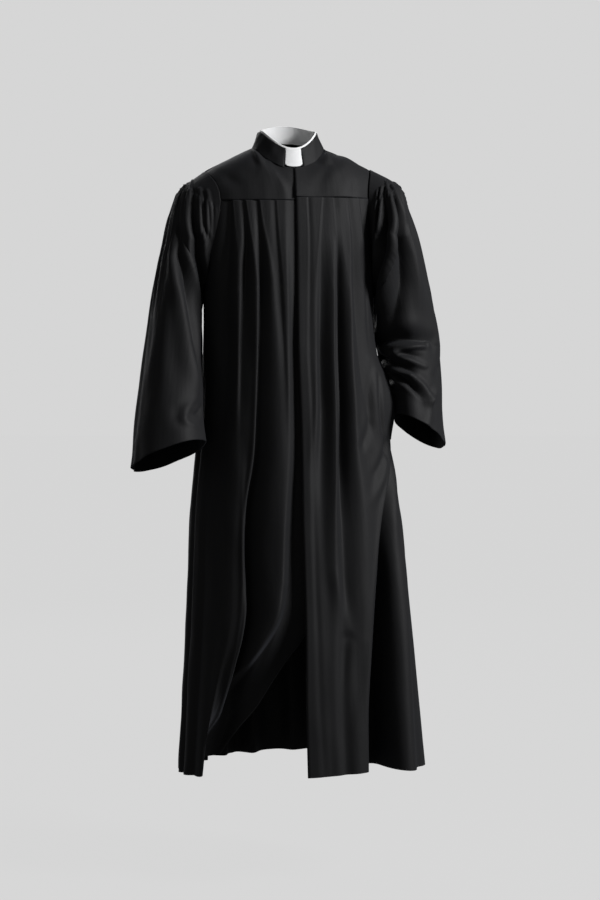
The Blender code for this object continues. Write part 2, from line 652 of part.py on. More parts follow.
def main():
    for old in list(bpy.data.objects):
        bpy.data.objects.remove(old)
    robe = bpy.data.collections.new("pulpit_robe")
    bpy.context.scene.collection.children.link(robe)

    fronts = {name: columns(name, BETWEEN_PLEATS) for name in ("front_right", "front_left")}
    cloth_piece("front_right", front_right, fronts["front_right"], FRONT_ROWS, CLOTH, BLACK_CLOTH, robe)
    cloth_piece("front_left", front_left, fronts["front_left"], FRONT_ROWS, CLOTH, BLACK_CLOTH, robe)
    cloth_piece("back", back, columns("back", BETWEEN_BACK_PLEATS), BACK_ROWS, CLOTH, BLACK_CLOTH, robe)

    pocket_rows = FRONT_ROWS[(FRONT_ROWS >= POCKET_TOP_DROP) & (FRONT_ROWS <= POCKET_END_DROP)]
    beside_pocket = fronts["front_left"][-4:-1]
    cloth_piece("pocket_welt", pocket_welt, beside_pocket, pocket_rows, WELT_WALL, BLACK_CLOTH, robe)

    half_yoke, yoke_rows = np.linspace(0, 1, 15), np.linspace(0, 1, 5)
    cloth_piece("yoke_front_right", yoke_front_right, half_yoke, yoke_rows, CLOTH, BLACK_CLOTH, robe)
    cloth_piece("yoke_front_left", yoke_front_left, half_yoke, yoke_rows, CLOTH, BLACK_CLOTH, robe)
    cloth_piece("yoke_back", yoke_back, np.linspace(-1, 1, 21), yoke_rows, CLOTH, BLACK_CLOTH, robe)

    round_top = np.arange(-GATHERED_TURN, GATHERED_TURN + 1, GATHER_STEP)
    round_below = np.linspace(GATHERED_TURN, 360 - GATHERED_TURN, 8)[1:]
    turns, down_sleeve = np.append(round_top, round_below), np.linspace(0, 1, 12)
    for side in SIDE:
        cloth_piece("sleeve_" + side, sleeve(side), turns, down_sleeve, CLOTH, BLACK_CLOTH, robe, None)

    round_neck, across_tab, up_collar = np.linspace(0, 1, 31), np.linspace(0, 1, 5), np.linspace(0, 1, 3)
    neck = (0, 0, 0)
    cloth_piece("collar", collar, round_neck, up_collar, COLLAR_WALL, BLACK_CLOTH, robe, neck)
    cloth_piece("collar_band", collar_band, round_neck, up_collar, BAND_WALL, WHITE_LINEN, robe, None)
    cloth_piece("collar_tab", collar_tab, across_tab, up_collar, TAB_WALL, WHITE_LINEN, robe, neck)


main()
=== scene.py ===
"""The finish of a pulpit robe in its worn form, with nobody in it.

The file follows the robe as it is sewn: yokes, right front, left front with its pocket, back, sleeves
and collar, and then the studio. Metres, but for the columns of a table that end in _mm. +Z is up, and the
front faces -Y, turned a little to +X, which is the wearer's left. A "drop" is a distance below the
origin, the middle of the neck. A "bearing" goes round the body in degrees: 0 is the centre front, 90 the
wearer's left, 180 the centre back.
"""

import bmesh
import bpy
import numpy as np
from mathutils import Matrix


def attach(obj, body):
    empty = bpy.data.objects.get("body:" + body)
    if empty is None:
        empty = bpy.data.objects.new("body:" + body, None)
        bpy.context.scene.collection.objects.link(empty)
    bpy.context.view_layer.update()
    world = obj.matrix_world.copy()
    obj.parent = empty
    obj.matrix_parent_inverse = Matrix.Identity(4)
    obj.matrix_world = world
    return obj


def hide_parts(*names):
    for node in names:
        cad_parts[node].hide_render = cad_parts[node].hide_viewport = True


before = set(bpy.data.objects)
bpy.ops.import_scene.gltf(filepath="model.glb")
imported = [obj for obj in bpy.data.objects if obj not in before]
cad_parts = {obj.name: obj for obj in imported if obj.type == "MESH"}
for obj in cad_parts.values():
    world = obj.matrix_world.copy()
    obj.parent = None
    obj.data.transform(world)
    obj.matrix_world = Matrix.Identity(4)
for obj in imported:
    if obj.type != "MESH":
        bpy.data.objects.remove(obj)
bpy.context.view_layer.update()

# The yokes: two fronts and one back of plain black cloth, which carry everything below them.
# They are cut to the neck and the shoulder seams. The left front yoke lies over the right one.

CLOTH = 0.0013
SEAM_GAP = 0.0003
SEAM_ROLL = 0.0007
SHOULDER_TURN = 6.5
NECK_TURN = 3.5  # degrees further to the wearer's left than the shoulders
FRONT_YOKE_DROP = {"left": 0.111, "right": 0.118}
BACK_YOKE_DROP = 0.130
FRONT_EDGE = 0.005
FRONT_LAP = 0.042
SHOULDER_HALF_WIDTH = 0.182
SHOULDER_BACK = 0.008  # how far behind the middle the seam meets the armhole
SHOULDER_CROWN = 0.0015  # how much the seam bows upwards
SHOULDER_DROP = {"left": 0.044, "right": 0.052}
YOKE_SEAM_SHARE = 0.0002  # of a yoke's height, left open at its upper and lower seams
YOKE_FULLNESS = 0.38  # how far a yoke's curves run straight at each end, as a share of their length
YOKE_RUMPLE = 0.004
NECK_SHARE = 0.5  # of a yoke's upper edge, the rest being the shoulder seam
SIDE = {"left": 1, "right": -1}
NECK = {
    "half_width": 0.080,
    "front": 0.085,
    "back": 0.068,
    "front_rise": -0.047,
    "side_rise": 0.0,
    "back_rise": 0.012,
}


def table(columns, *rows):
    """Rows of numbers with named columns. A column in millimetres is kept in metres, without its _mm."""
    kept = np.zeros(len(rows), dtype=[(name.removesuffix("_mm"), float) for name in columns.split()])
    for name, values in zip(columns.split(), zip(*rows)):
        kept[name.removesuffix("_mm")] = np.array(values) / (1000 if name.endswith("_mm") else 1)
    return kept


# Sections through the body: how far the cloth reaches each way, how square it is, and its turn
BODY = table(
    "drop_mm left_mm right_mm front_mm back_mm square turned",
    (110, 190, 190, 118, 105, 2.5, 6.5),
    (200, 190, 188, 131, 120, 2.5, 6.5),
    (310, 187, 184, 137, 127, 2.4, 6.5),
    (450, 194, 186, 142, 135, 2.3, 6),
    (570, 212, 193, 147, 146, 2.3, 5.5),
    (670, 229, 203, 154, 157, 2.2, 5),
    (760, 243, 211, 162, 168, 2.2, 4),
    (1020, 272, 223, 184, 198, 2.2, 3),
    (1215, 291, 233, 199, 220, 2.2, 2),
    (1352, 304, 240, 208, 236, 2.2, 2),
)

# The armholes' edges, as a bearing away from the centre front at each drop; the backs are alike
ARMHOLE = table(
    "drop_mm left_front right_front back",
    (110, 60, 49, 127),
    (150, 61, 52, 125),
    (200, 66, 58, 120),
    (250, 74, 67, 112),
    (285, 82, 77, 103),
    (310, 90, 90, 90),
)

# Short soft folds: three points of a bow, the depth at each, and half the width on each side of it.
# A negative depth is a ridge.
BOW = (
    "across_mm drop_mm mid_across_mm mid_drop_mm end_across_mm end_drop_mm "
    "deep_mm mid_deep_mm end_deep_mm left_mm right_mm"
)
YOKE_FOLDS = {
    "yoke_front_right": table(
        BOW,
        (-50, 12, -44, 30, -30, 46, 2, 3, 1, 6, 8),
        (-74, 16, -68, 34, -56, 52, 1, 2, 0, 7, 9),
        (-140, 60, -120, 75, -85, 88, 1, 2, 0, 10, 12),
    ),
    "yoke_front_left": table(
        BOW,
        (104, 22, 84, 50, 70, 90, 2, 3, 1, 12, 14),
        (60, 30, 75, 36, 110, 40, 1, 2, 1, 8, 8),
        (150, 66, 145, 86, 142, 106, 0, 2, 1, 7, 10),
    ),
    "yoke_back": table(
        BOW,
        (-120, 60, -80, 85, -30, 100, 1, 2, 0, 12, 14),
        (125, 55, 90, 80, 45, 98, 1, 2, 0, 12, 14),
        (10, 20, 14, 55, 6, 95, 1, 1, 0, 16, 16),
    ),
}


def read(places, values, at):
    """A smooth curve through the values, which are numbers or whole rings, read at the given places."""
    places, values = np.asarray(places, float), np.asarray(values, float)
    slopes = np.gradient(values, places, axis=0)
    at = np.clip(at, places[0], places[-1])
    i = np.clip(np.searchsorted(places, at, side="right") - 1, 0, len(places) - 2)
    step = places[i + 1] - places[i]
    t = (at - places[i]) / step
    for _ in values.shape[1:]:
        t, step = t[..., None], step[..., None]
    stay, leave, arrive = 2 * t**3 - 3 * t**2 + 1, t**3 - 2 * t**2 + t, t**3 - t**2
    bend = step * (leave * slopes[i] + arrive * slopes[i + 1])
    return stay * values[i] + (1 - stay) * values[i + 1] + bend


def soft_step(low, high, at):
    """0 below low, 1 above high, with a smooth rise between."""
    t = np.clip((at - low) / (high - low), 0, 1)
    return t * t * (3 - 2 * t)


def power(value, exponent):
    return np.sign(value) * np.abs(value) ** exponent


def unit(vectors):
    return vectors / np.linalg.norm(vectors, axis=-1, keepdims=True)


def turned(points, degrees):
    """The points turned about the upright axis through the neck."""
    sine, cosine = np.sin(np.radians(degrees)), np.cos(np.radians(degrees))
    x, y, z = points[..., 0], points[..., 1], points[..., 2]
    return np.stack([x * cosine - y * sine, x * sine + y * cosine, z], axis=-1)


LIP = 0.16  # of a fold's depth


def trough(share, lip=LIP):
    """The shape across a soft fold: a trough with a low lip on each side."""
    return np.exp(-(share**2)) - lip * np.exp(-((np.abs(share) - 2.0) ** 2))


def bows(folds, across, drop):
    """How far short folds take the cloth inwards at each point."""
    total = np.zeros_like(across)
    for fold in folds:
        share = np.linspace(0, 1, 15)
        line = [
            (1 - share) * (1 - 2 * share) * fold[start]
            + 4 * share * (1 - share) * fold["mid_" + start]
            + share * (2 * share - 1) * fold["end_" + start]
            for start in ("across", "drop")
        ]
        nearest = np.full_like(across, np.inf)
        side, along = np.zeros_like(across), np.zeros_like(across)
        for k in range(len(share) - 1):
            a, b = line[0][k], line[1][k]
            run, fall = line[0][k + 1] - a, line[1][k + 1] - b
            length = np.hypot(run, fall)
            t = np.clip(((across - a) * run + (drop - b) * fall) / length**2, 0, 1)
            gap = np.hypot(across - a - t * run, drop - b - t * fall)
            closer = gap < nearest
            nearest = np.where(closer, gap, nearest)
            side = np.where(closer, (across - a) * fall - (drop - b) * run, side)
            along = np.where(closer, (k + t) / (len(share) - 1), along)
        wide = np.where(side > 0, fold["left"], fold["right"])
        deep = read([0, 0.5, 1], [fold["deep"], fold["mid_deep"], fold["end_deep"]], along)
        total += deep * trough(nearest / wide)
    return total


def rumple(across, drop, seed, amount):
    """The cloth's own small unevenness, drawn out down its length."""
    waves = np.random.default_rng(seed)
    total = np.zeros_like(across)
    for _ in range(26):
        pitch = waves.uniform(0.035, 0.140)
        lean = waves.normal(0, 0.16)
        swell = waves.uniform(0.15, 0.60)
        phase, other = waves.uniform(0, 2 * np.pi, 2)
        wave = np.sin(2 * np.pi / pitch * (across + lean * drop) + phase)
        total += wave * (0.5 + 0.5 * np.sin(2 * np.pi * drop / swell + other)) * pitch
    return total * amount


ALMOST_ROUND = 0.98


def rolled(distance, radius=SEAM_ROLL):
    """How far a turned edge rolls inwards within its radius."""
    share = np.clip(1 - distance / radius, 0, 1)
    return radius * (1 - np.sqrt(1 - share**2 * ALMOST_ROUND))


def facings(points):
    """Which way the cloth faces at each point of a grid."""
    down, across = np.gradient(points, axis=0), np.gradient(points, axis=1)
    return unit(np.cross(down, across))


def lay_cloth(name, points, wall=CLOTH, tube=False, outside=False):
    """Cloth with a thickness on a grid of points, whose rows go down and whose columns go round towards
    the wearer's left. It lies inside the points or outside them. Its weave's coordinates are in metres."""
    rows, columns = points.shape[:2]
    cloth = bmesh.new()
    cloth.loops.layers.uv.new("weave")
    bmesh.ops.create_grid(cloth, x_segments=columns - 1, y_segments=rows - 1, size=0.5, calc_uvs=True)
    place = np.array([vertex.co for vertex in cloth.verts]) + 0.5
    column = np.rint(place[:, 0] * (columns - 1)).astype(int)
    row = np.rint(place[:, 1] * (rows - 1)).astype(int)
    for vertex, point in zip(cloth.verts, points[row, column]):
        vertex.co = point
    if tube:
        bmesh.ops.remove_doubles(cloth, verts=cloth.verts, dist=1e-6)
    if not outside:
        bmesh.ops.reverse_faces(cloth, faces=cloth.faces)
    mesh = bpy.data.meshes.new(name)
    cloth.to_mesh(mesh)
    cloth.free()
    mesh.shade_smooth()
    weave = mesh.uv_layers["weave"].data
    places = np.zeros(len(weave) * 2)
    weave.foreach_get("uv", places)
    wide = np.linalg.norm(np.diff(points, axis=1), axis=2).sum(axis=1).mean()
    long = np.linalg.norm(np.diff(points, axis=0), axis=2).sum(axis=0).mean()
    weave.foreach_set("uv", (places.reshape(-1, 2) * (wide, long)).ravel())
    piece = bpy.data.objects.new(name, mesh)
    bpy.context.scene.collection.objects.link(piece)
    shell = piece.modifiers.new("cloth thickness", "SOLIDIFY")
    shell.thickness = wall
    shell.offset = -1
    return piece


def section(drop):
    """Half the width, the depth at the front and back, and the squareness of the body at a drop."""
    left, right, front, back, square = (
        read(BODY["drop"], BODY[name], drop) for name in ("left", "right", "front", "back", "square")
    )
    return (left + right) / 2, front, back, square


def bearing_at(x, drop):
    """The bearing of a point of the front that is x to the left of its middle."""
    half, _, _, square = section(drop)
    return np.degrees(np.arcsin(power(x / half, square / 2)))


def body_unturned(bearing, drop, out):
    """The smooth form below the yoke, moved outwards by out, before its turn."""
    half, front, back, square = section(drop)
    sine, cosine = np.sin(np.radians(bearing)), np.cos(np.radians(bearing))
    deep = np.where(cosine > 0, front, back)
    x, y = half * power(sine, 2 / square), -deep * power(cosine, 2 / square)
    facing_x, facing_y = power(sine, 2 - 2 / square) / half, -power(cosine, 2 - 2 / square) / deep
    facing = unit(np.stack([facing_x, facing_y, np.zeros_like(facing_x)], axis=-1))
    return np.stack([x, y, -drop], axis=-1) + facing * out[..., None]


# How much deeper the right front lies under the left one, and how many degrees beside the left one's
# edge it starts to
LAP_UNDER = table("drop_mm under_mm", (110, 6.2), (300, 10), (500, 14), (950, 25), (1350, 25))
LAP_REACH = table("drop_mm degrees", (110, 4), (500, 5), (740, 7), (890, 9.5), (1070, 12), (1350, 12))
LAP_SLOPE_DEGREES = 4.5


def lap_depth(bearing, drop):
    """How much deeper the right front lies where the left front covers it, and for a little beside it."""
    start = bearing_at(FRONT_EDGE, drop) - read(LAP_REACH["drop"], LAP_REACH["degrees"], drop)
    under = read(LAP_UNDER["drop"], LAP_UNDER["under"], drop)
    return under * soft_step(start, start + LAP_SLOPE_DEGREES, bearing)


def neck_ring(sizes, bearing):
    """A ring round the neck that is lower at the front than at the sides and back."""
    sine, cosine = np.sin(np.radians(bearing)), np.cos(np.radians(bearing))
    front, behind = np.maximum(cosine, 0) ** 2, np.minimum(cosine, 0) ** 2
    y = -np.where(cosine > 0, sizes["front"], sizes["back"]) * cosine
    rise = sizes["side_rise"] + (sizes["front_rise"] - sizes["side_rise"]) * front
    rise = rise + (sizes["back_rise"] - sizes["side_rise"]) * behind
    return turned(np.stack([sizes["half_width"] * sine, y, rise], axis=-1), NECK_TURN)


def armhole_bearing(side, half, drop):
    """The signed bearing of an armhole's edge."""
    column = "back" if half == "back" else side + "_front"
    return SIDE[side] * read(ARMHOLE["drop"], ARMHOLE[column], drop)


def shoulder_seam(side, share):
    """From the neck (0) to the armhole (1), before the turn."""
    neck = neck_ring(NECK, np.array(90.0 * SIDE[side]))
    end = np.array([SIDE[side] * SHOULDER_HALF_WIDTH, SHOULDER_BACK, -SHOULDER_DROP[side]])
    line = neck + (end - neck) * share[..., None]
    line[..., 2] += SHOULDER_CROWN * np.sin(np.pi * share)
    return line


def yoke(side, half, bearing, u, v, under=0.0):
    """Curves that rise from the seam under the yoke (v = 0) to the neckline and shoulder seam (v = 1)."""
    drop = np.full_like(u, FRONT_YOKE_DROP[side] if half == "front" else BACK_YOKE_DROP)
    middle = 0.0 if half == "front" else 180.0 * SIDE[side]
    forward = -1 if half == "front" else 1
    low = body_unturned(bearing, drop, np.zeros_like(u) - under)
    at_neck = np.clip(u / NECK_SHARE, 0, 1)
    off_middle = (bearing - middle) * (1 - at_neck)
    high = neck_ring(NECK, middle + (90 * SIDE[side] - middle) * at_neck + off_middle)
    high[..., 1] -= forward * under * 0.8
    on_shoulder = np.clip((u - NECK_SHARE) / (1 - NECK_SHARE), 0, 1)
    high = np.where((u > NECK_SHARE)[..., None], shoulder_seam(side, on_shoulder), high)
    lean = soft_step(0, 1, at_neck)[..., None]
    rising = unit(np.array([0, -forward * 0.20, 1.0]))
    at_front = np.array([0, -forward * 0.62, 0.78])
    arriving = unit(at_front * (1 - lean) + np.array([0, -forward, 0.03]) * lean)
    reach = np.linalg.norm(high - low, axis=-1, keepdims=True) * YOKE_FULLNESS
    second, third = low + rising * reach, high - arriving * reach
    t = v[..., None]
    curve = (1 - t) ** 3 * low + 3 * (1 - t) ** 2 * t * second + 3 * (1 - t) * t**2 * third + t**3 * high
    return turned(curve, SHOULDER_TURN)


def seam_edges(points, seed):
    """Rolls a yoke's edges in at its seams and gives its cloth a little life."""
    facing = facings(points)
    step_down = np.linalg.norm(np.gradient(points, axis=0), axis=2)
    step_across = np.linalg.norm(np.gradient(points, axis=1), axis=2)
    from_top, from_left = np.cumsum(step_down, axis=0), np.cumsum(step_across, axis=1)
    from_below, from_right = from_top[-1] - from_top, from_left[:, -1:] - from_left
    nearest = np.minimum(np.minimum(from_top, from_below), np.minimum(from_left, from_right))
    inward = rolled(nearest - nearest.min()) + rumple(points[..., 0], -points[..., 2], seed, YOKE_RUMPLE)
    return points - facing * inward[..., None]


class Reading:
    """A value on its way through a material's nodes; Python's operators add the Math nodes."""

    def __init__(self, finish, socket):
        self.finish, self.socket = finish, socket

    def _maths(self, operation, first, second):
        return self.finish.node("ShaderNodeMath", {"operation": operation}, {0: first, 1: second})

    def __add__(self, other):
        return self._maths("ADD", self, other)

    def __mul__(self, other):
        return self._maths("MULTIPLY", self, other)

    def sine(self):
        return self._maths("SINE", self, 0)

    __radd__ = __add__


class Finish:
    """A cloth's material: one Principled shader, and the nodes that its surface needs."""

    def __init__(self, name, constants):
        self.material = bpy.data.materials.new(name)
        self.material.use_nodes = True
        self.nodes = self.material.node_tree.nodes
        self.shader = self.nodes["Principled BSDF"]
        for socket, value in constants.items():
            self.shader.inputs[socket].default_value = value

    def plug(self, socket, value):
        if isinstance(value, Reading):
            self.material.node_tree.links.new(value.socket, socket)
        else:
            socket.default_value = value

    def node(self, kind, settings, sockets, output=0):
        """Any node: its settings are set first, and then its sockets get values or links."""
        node = self.nodes.new(kind)
        for name, value in settings.items():
            setattr(node, name, value)
        for name, value in sockets.items():
            self.plug(node.inputs[name], value)
        return Reading(self, node.outputs[output])

    def weave(self):
        """The cloth's own place in metres, and how far across and down the cloth it is."""
        place = self.node("ShaderNodeUVMap", {"uv_map": "weave"}, {})
        across, down = (self.node("ShaderNodeSeparateXYZ", {}, {"Vector": place}, axis) for axis in "XY")
        return place, across, down

    def surface(self, **sockets):
        for name, value in sockets.items():
            self.plug(self.shader.inputs[name.replace("_", " ")], value)


TWILL_PITCH = 0.0011
WARP_PITCH = 0.00055
WEFT_PITCH = 0.0006
BLACK = (0.0060, 0.0061, 0.0066, 1)
WORN_BLACK = (0.0090, 0.0091, 0.0098, 1)


def black_cloth(name, seed):
    """Black gabardine: a fine twill with a soft sheen that is a little uneven down its length."""
    finish = Finish(name, {
        "Metallic": 0.0,
        "IOR": 1.47,
        "Specular IOR Level": 0.28,
        "Sheen Weight": 0.04,
        "Sheen Roughness": 0.50,
        "Sheen Tint": (0.80, 0.84, 1.0, 1.0),
    })
    weave, across, down = finish.weave()
    twill = ((across + down * 0.8) * (2 * np.pi / TWILL_PITCH)).sine()
    threads = (across * (2 * np.pi / WARP_PITCH)).sine() * (down * (2 * np.pi / WEFT_PITCH)).sine()
    moved = finish.node("ShaderNodeMapping", {}, {
        "Vector": weave, "Location": (seed * 1.7, seed * 0.9, 0), "Scale": (1, 0.10, 1)})
    streaks = finish.node("ShaderNodeTexNoise", {}, {"Vector": moved, "Scale": 110.0, "Detail": 4.0})
    patches = finish.node("ShaderNodeTexNoise", {}, {"Vector": weave, "Scale": 9.0, "Detail": 3.0})
    colour = finish.node("ShaderNodeMix", {"data_type": "RGBA"}, {
        "Factor": patches * 0.7 + twill * 0.08, 6: BLACK, 7: WORN_BLACK}, 2)
    soft = finish.node("ShaderNodeBump", {}, {"Strength": 0.5, "Distance": 0.0008, "Height": streaks})
    fine = finish.node("ShaderNodeBump", {}, {
        "Strength": 0.35, "Distance": 0.0001, "Height": twill * 0.5 + threads * 0.5, "Normal": soft})
    finish.surface(Base_Color=colour, Roughness=0.60 + patches * 0.10 + streaks * 0.06, Normal=fine)
    return finish.material


def finish_piece(piece, material):
    """The piece takes its cloth, stands for its solid and is attached to the root body."""
    piece.data.materials.append(material)
    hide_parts(piece.name.replace("cloth_", ""))
    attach(piece, "root")


def sew_yoke(name, points, seeds):
    """One yoke from its smooth form: its folds, its rolled seams and its cloth."""
    points = points - facings(points) * bows(YOKE_FOLDS[name], points[..., 0], -points[..., 2])[..., None]
    piece = lay_cloth("cloth_" + name, seam_edges(points, seeds[0]))
    finish_piece(piece, black_cloth(name + " gabardine", seeds[1]))


u, v = np.meshgrid(np.linspace(0, 1, 90), np.linspace(1, 0, 70))
inside_seams = YOKE_SEAM_SHARE + v * (1 - 2 * YOKE_SEAM_SHARE)
for side in ("right", "left"):
    on_right = side == "right"
    start = bearing_at(FRONT_EDGE + (FRONT_LAP if on_right else 0), FRONT_YOKE_DROP[side])
    end = armhole_bearing(side, "front", FRONT_YOKE_DROP[side])
    bearing = start + (end - start) * u
    under = lap_depth(bearing, np.full_like(u, FRONT_YOKE_DROP[side])) if on_right else 0.0
    points = yoke(side, "front", bearing, u, inside_seams, under)
    points = points[:, ::-1] if on_right else points
    sew_yoke("yoke_front_" + side, points, (SIDE[side] + 4, SIDE[side] + 2))

u, v = np.meshgrid(np.linspace(-1, 1, 150), np.linspace(1, 0, 80))
inside_seams = YOKE_SEAM_SHARE + v * (1 - 2 * YOKE_SEAM_SHARE)
share = np.abs(u)
turn_to_armhole = armhole_bearing("left", "back", BACK_YOKE_DROP) - 180
left = yoke("left", "back", 180 + turn_to_armhole * share, share, inside_seams)
right = yoke("right", "back", -180 - turn_to_armhole * share, share, inside_seams)
points = np.where((u < 0)[..., None], left, right)
sew_yoke("yoke_back", points, (9, 5))

# The right front: one long panel, knife pleated into its yoke. It runs on under the left front, and
# low down its free edge falls back. Under the pleats the cloth opens into long soft folds.

HEM_DROP = 1.352
UNDERARM_DROP = 0.310
SIDE_SEAM_GAP = 0.0001
EDGE_ROLL = 0.0032
PANEL_RUMPLE = 0.0030
# Rows of points down a panel, closer together at its seam and its hem
DOWN = np.concatenate([np.linspace(0, 0.02, 12), np.linspace(0.024, 0.996, 220), np.linspace(0.9975, 1, 4)])


def long_fold(*rows):
    """A fold down a panel: at every drop that shapes it a row with its bearing, its depth and half its
    width on the side nearer the centre front and on the side away from it."""
    return table("drop_mm bearing deep_mm near_mm away_mm", *rows)


FRONT_RIGHT_FOLDS = [
    long_fold(
        (110, -8.2, 1.8, 1.2, 5),
        (178, -7.6, 2.4, 1.2, 6),
        (245, -6.8, 2.6, 1.4, 7),
        (409, -5.6, 2.4, 1.6, 7),
        (518, -5.2, 1.6, 2, 7),
        (697, -4.8, 0, 3, 8),
    ),
    long_fold(
        (150, -3.4, 0, 3, 8),
        (245, -3.2, -2, 2.6, 8),
        (450, -3, -2.2, 2.6, 8),
        (620, -3.2, 0, 3, 8),
    ),
    long_fold(
        (110, -18.6, 3.2, 1.4, 10),
        (174, -17.2, 6, 2.2, 9),
        (205, -16.4, 9, 3.2, 9),
        (276, -16.2, 14, 5.6, 9),
        (353, -17.6, 15, 8.4, 8),
        (430, -19, 16, 13, 6),
        (504, -20, 17, 16, 5),
        (590, -20.8, 20, 18, 5),
        (677, -22, 24, 20, 6),
        (763, -24.6, 29, 24, 6),
        (850, -25.2, 33, 25, 7),
        (920, -24.6, 35, 24, 8),
        (1006, -22.6, 38, 21, 9),
        (1085, -18.8, 38, 21, 10),
        (1174, -10, 36, 22, 15),
        (1269, 1, 28, 20, 18),
        (1352, 5, 20, 18, 22),
    ),
    long_fold(
        (110, -28.6, 3.2, 1.4, 10),
        (168, -27, 6, 2.2, 9),
        (214, -26.2, 10, 3.4, 10),
        (266, -28, 13, 7, 12),
        (353, -31.2, 12, 14, 9),
        (430, -33, 11, 20, 7),
        (520, -33.6, 7, 22, 6),
        (620, -33, 2, 20, 8),
        (700, -32, 0, 14, 12),
    ),
    long_fold(
        (110, -39.2, 4, 1.4, 14),
        (187, -40.6, 8, 5, 20),
        (230, -42.5, 11, 9, 26),
        (297, -46, 13, 15, 34),
        (452, -47.5, 13, 20, 36),
        (700, -50, 6, 22, 36),
        (950, -52, 0, 26, 36),
    ),
    long_fold(
        (640, -28, 0, 12, 5),
        (763, -28.6, 3, 16, 4),
        (900, -28.2, 4, 16, 4),
        (1008, -27.8, 4, 16, 4),
        (1087, -24.4, 4, 16, 5),
        (1172, -17.6, 3, 16, 6),
        (1265, -5, 0, 18, 12),
    ),
    long_fold(
        (620, -36, 0, 12, 26),
        (794, -36, -4, 16, 30),
        (950, -36.5, -5, 18, 36),
        (1087, -36, -6, 18, 42),
        (1200, -38, -5, 24, 44),
        (1352, -44, -3, 28, 40),
    ),
    long_fold(
        (700, -60, 0, 12, 10),
        (850, -59.5, 5, 16, 10),
        (1050, -60.5, 8, 20, 11),
        (1352, -63, 11, 24, 12),
    ),
    long_fold(
        (420, -76, 0, 10, 10),
        (700, -77, 5, 10, 12),
        (1050, -78, 8, 14, 12),
        (1352, -79, 12, 16, 14),
    ),
    long_fold(
        (600, -7.6, 0, 12, 14),
        (763, -8, -3, 12, 14),
        (900, -8.8, -4, 12, 13),
        (1006, -10, -4, 11, 12),
        (1087, -1.8, -4, 12, 12),
        (1176, 5.2, -4, 12, 12),
        (1273, 12.5, -3, 12, 12),
    ),
]

# Broad soft forms that stand out: two on the left front, one low on the right front, two on the back
SWELLS = table(
    "bearing drop_mm wide_mm tall_mm out_mm",
    (38, 920, 90, 170, 5),
    (70, 545, 50, 85, 14),
    (-14, 1070, 70, 120, 14),
    (145, 270, 70, 90, 8),
    (215, 270, 70, 90, 8),
)

# How much further down the hem is at each bearing. The cloth above it follows, from this drop down.
HEM_SHAPED_FROM = 0.9
HEM = table(
    "bearing lower_mm",
    (-90, 16),
    (-50, 8),
    (-30, 0),
    (0, 0),
    (35, -12),
    (60, -6),
    (90, 3),
    (130, 6),
    (180, 5),
    (220, 10),
    (270, 16),
)

# How the right front's free edge falls aside and back
SWING = table(
    "drop_mm aside_mm back_mm up_mm",
    (940, 0, 0, 0),
    (1000, 10, 2, 0),
    (1060, 42, 12, 0),
    (1110, 78, 30, 0),
    (1150, 103, 50, 1),
    (1220, 145, 96, 3),
    (1290, 195, 150, 6),
    (1352, 232, 190, 10),
)

# The most that the lip on a fold's nearer side stands up
NEAR_LIP_HEIGHT = 0.0035

# How far the right front's folds lean away from the centre as they go in, as a share of their depth
FOLD_LEAN = 0.60


def metres_per_degree(drop):
    """How far round the body one degree of bearing is, on average."""
    half, front, back, _ = section(drop)
    return np.pi / 180 * (2 * half + front + back) / 4


def degrees_between(bearing, place):
    """How many degrees a bearing is past a place, the shorter way round."""
    return (bearing - place + 180) % 360 - 180


def read_fold(fold, drop):
    """A long fold's bearing, its depth and its half widths at each drop."""
    return (read(fold["drop"], fold[name], drop) for name in ("bearing", "deep", "near", "away"))


def swells(bearing, drop):
    """How far the broad soft forms stand out."""
    total = np.zeros_like(bearing)
    for swell in SWELLS:
        across = degrees_between(bearing, swell["bearing"]) * metres_per_degree(drop)
        down = drop - swell["drop"]
        total += swell["out"] * np.exp(-((across / swell["wide"]) ** 2) - (down / swell["tall"]) ** 2)
    return total


def long_folds(folds, bearing, drop, side):
    """How far a front's long folds take the cloth inwards; side is -1 where bearings are negative."""
    total = -swells(bearing, drop)
    for fold in folds:
        place, deep, near, away = read_fold(fold, drop)
        across = (bearing - place) * metres_per_degree(drop) * side
        near_lip = np.minimum(LIP, NEAR_LIP_HEIGHT / np.maximum(np.abs(deep), 0.001))
        wide = np.maximum(np.where(across < 0, near, away), 0.001)
        total += deep * trough(across / wide, np.where(across < 0, near_lip, LIP))
    return total


def uneven(bearing, drop, seed, amount=PANEL_RUMPLE, start=0.11):
    """The small unevenness of a panel, which grows from the drop where it starts."""
    growing = soft_step(start, start + 0.19, drop)
    return rumple(bearing * metres_per_degree(drop), drop, seed, amount) * growing


def body(bearing, drop, out):
    """The cloth below the yoke, moved outwards by out, turned and set over the uneven hem."""
    points = body_unturned(bearing, drop, out)
    points = turned(points, read(BODY["drop"], BODY["turned"], drop))
    points[..., 0] += read(BODY["drop"], (BODY["left"] - BODY["right"]) / 2, drop)
    low_part = np.clip((drop - HEM_SHAPED_FROM) / (HEM_DROP - HEM_SHAPED_FROM), 0, 1)
    around = np.where(bearing < -90, bearing + 360, bearing)
    points[..., 2] -= np.interp(around, HEM["bearing"], HEM["lower"]) * low_part
    return points


def side_edge(side, half, drop):
    """The signed bearing of a panel's edge: round the armhole, and from the underarm down the side."""
    gap = SIDE_SEAM_GAP / metres_per_degree(drop) / 2 * (1 if half == "front" else -1)
    edge = np.where(drop < UNDERARM_DROP, armhole_bearing(side, half, drop), 90.0 * SIDE[side])
    return edge - SIDE[side] * gap


def beside_seam(bearing):
    """The share of the folds that is left near the side seams, where two panels meet."""
    return soft_step(0, 7, np.abs(np.abs(degrees_between(bearing, 0)) - 90))


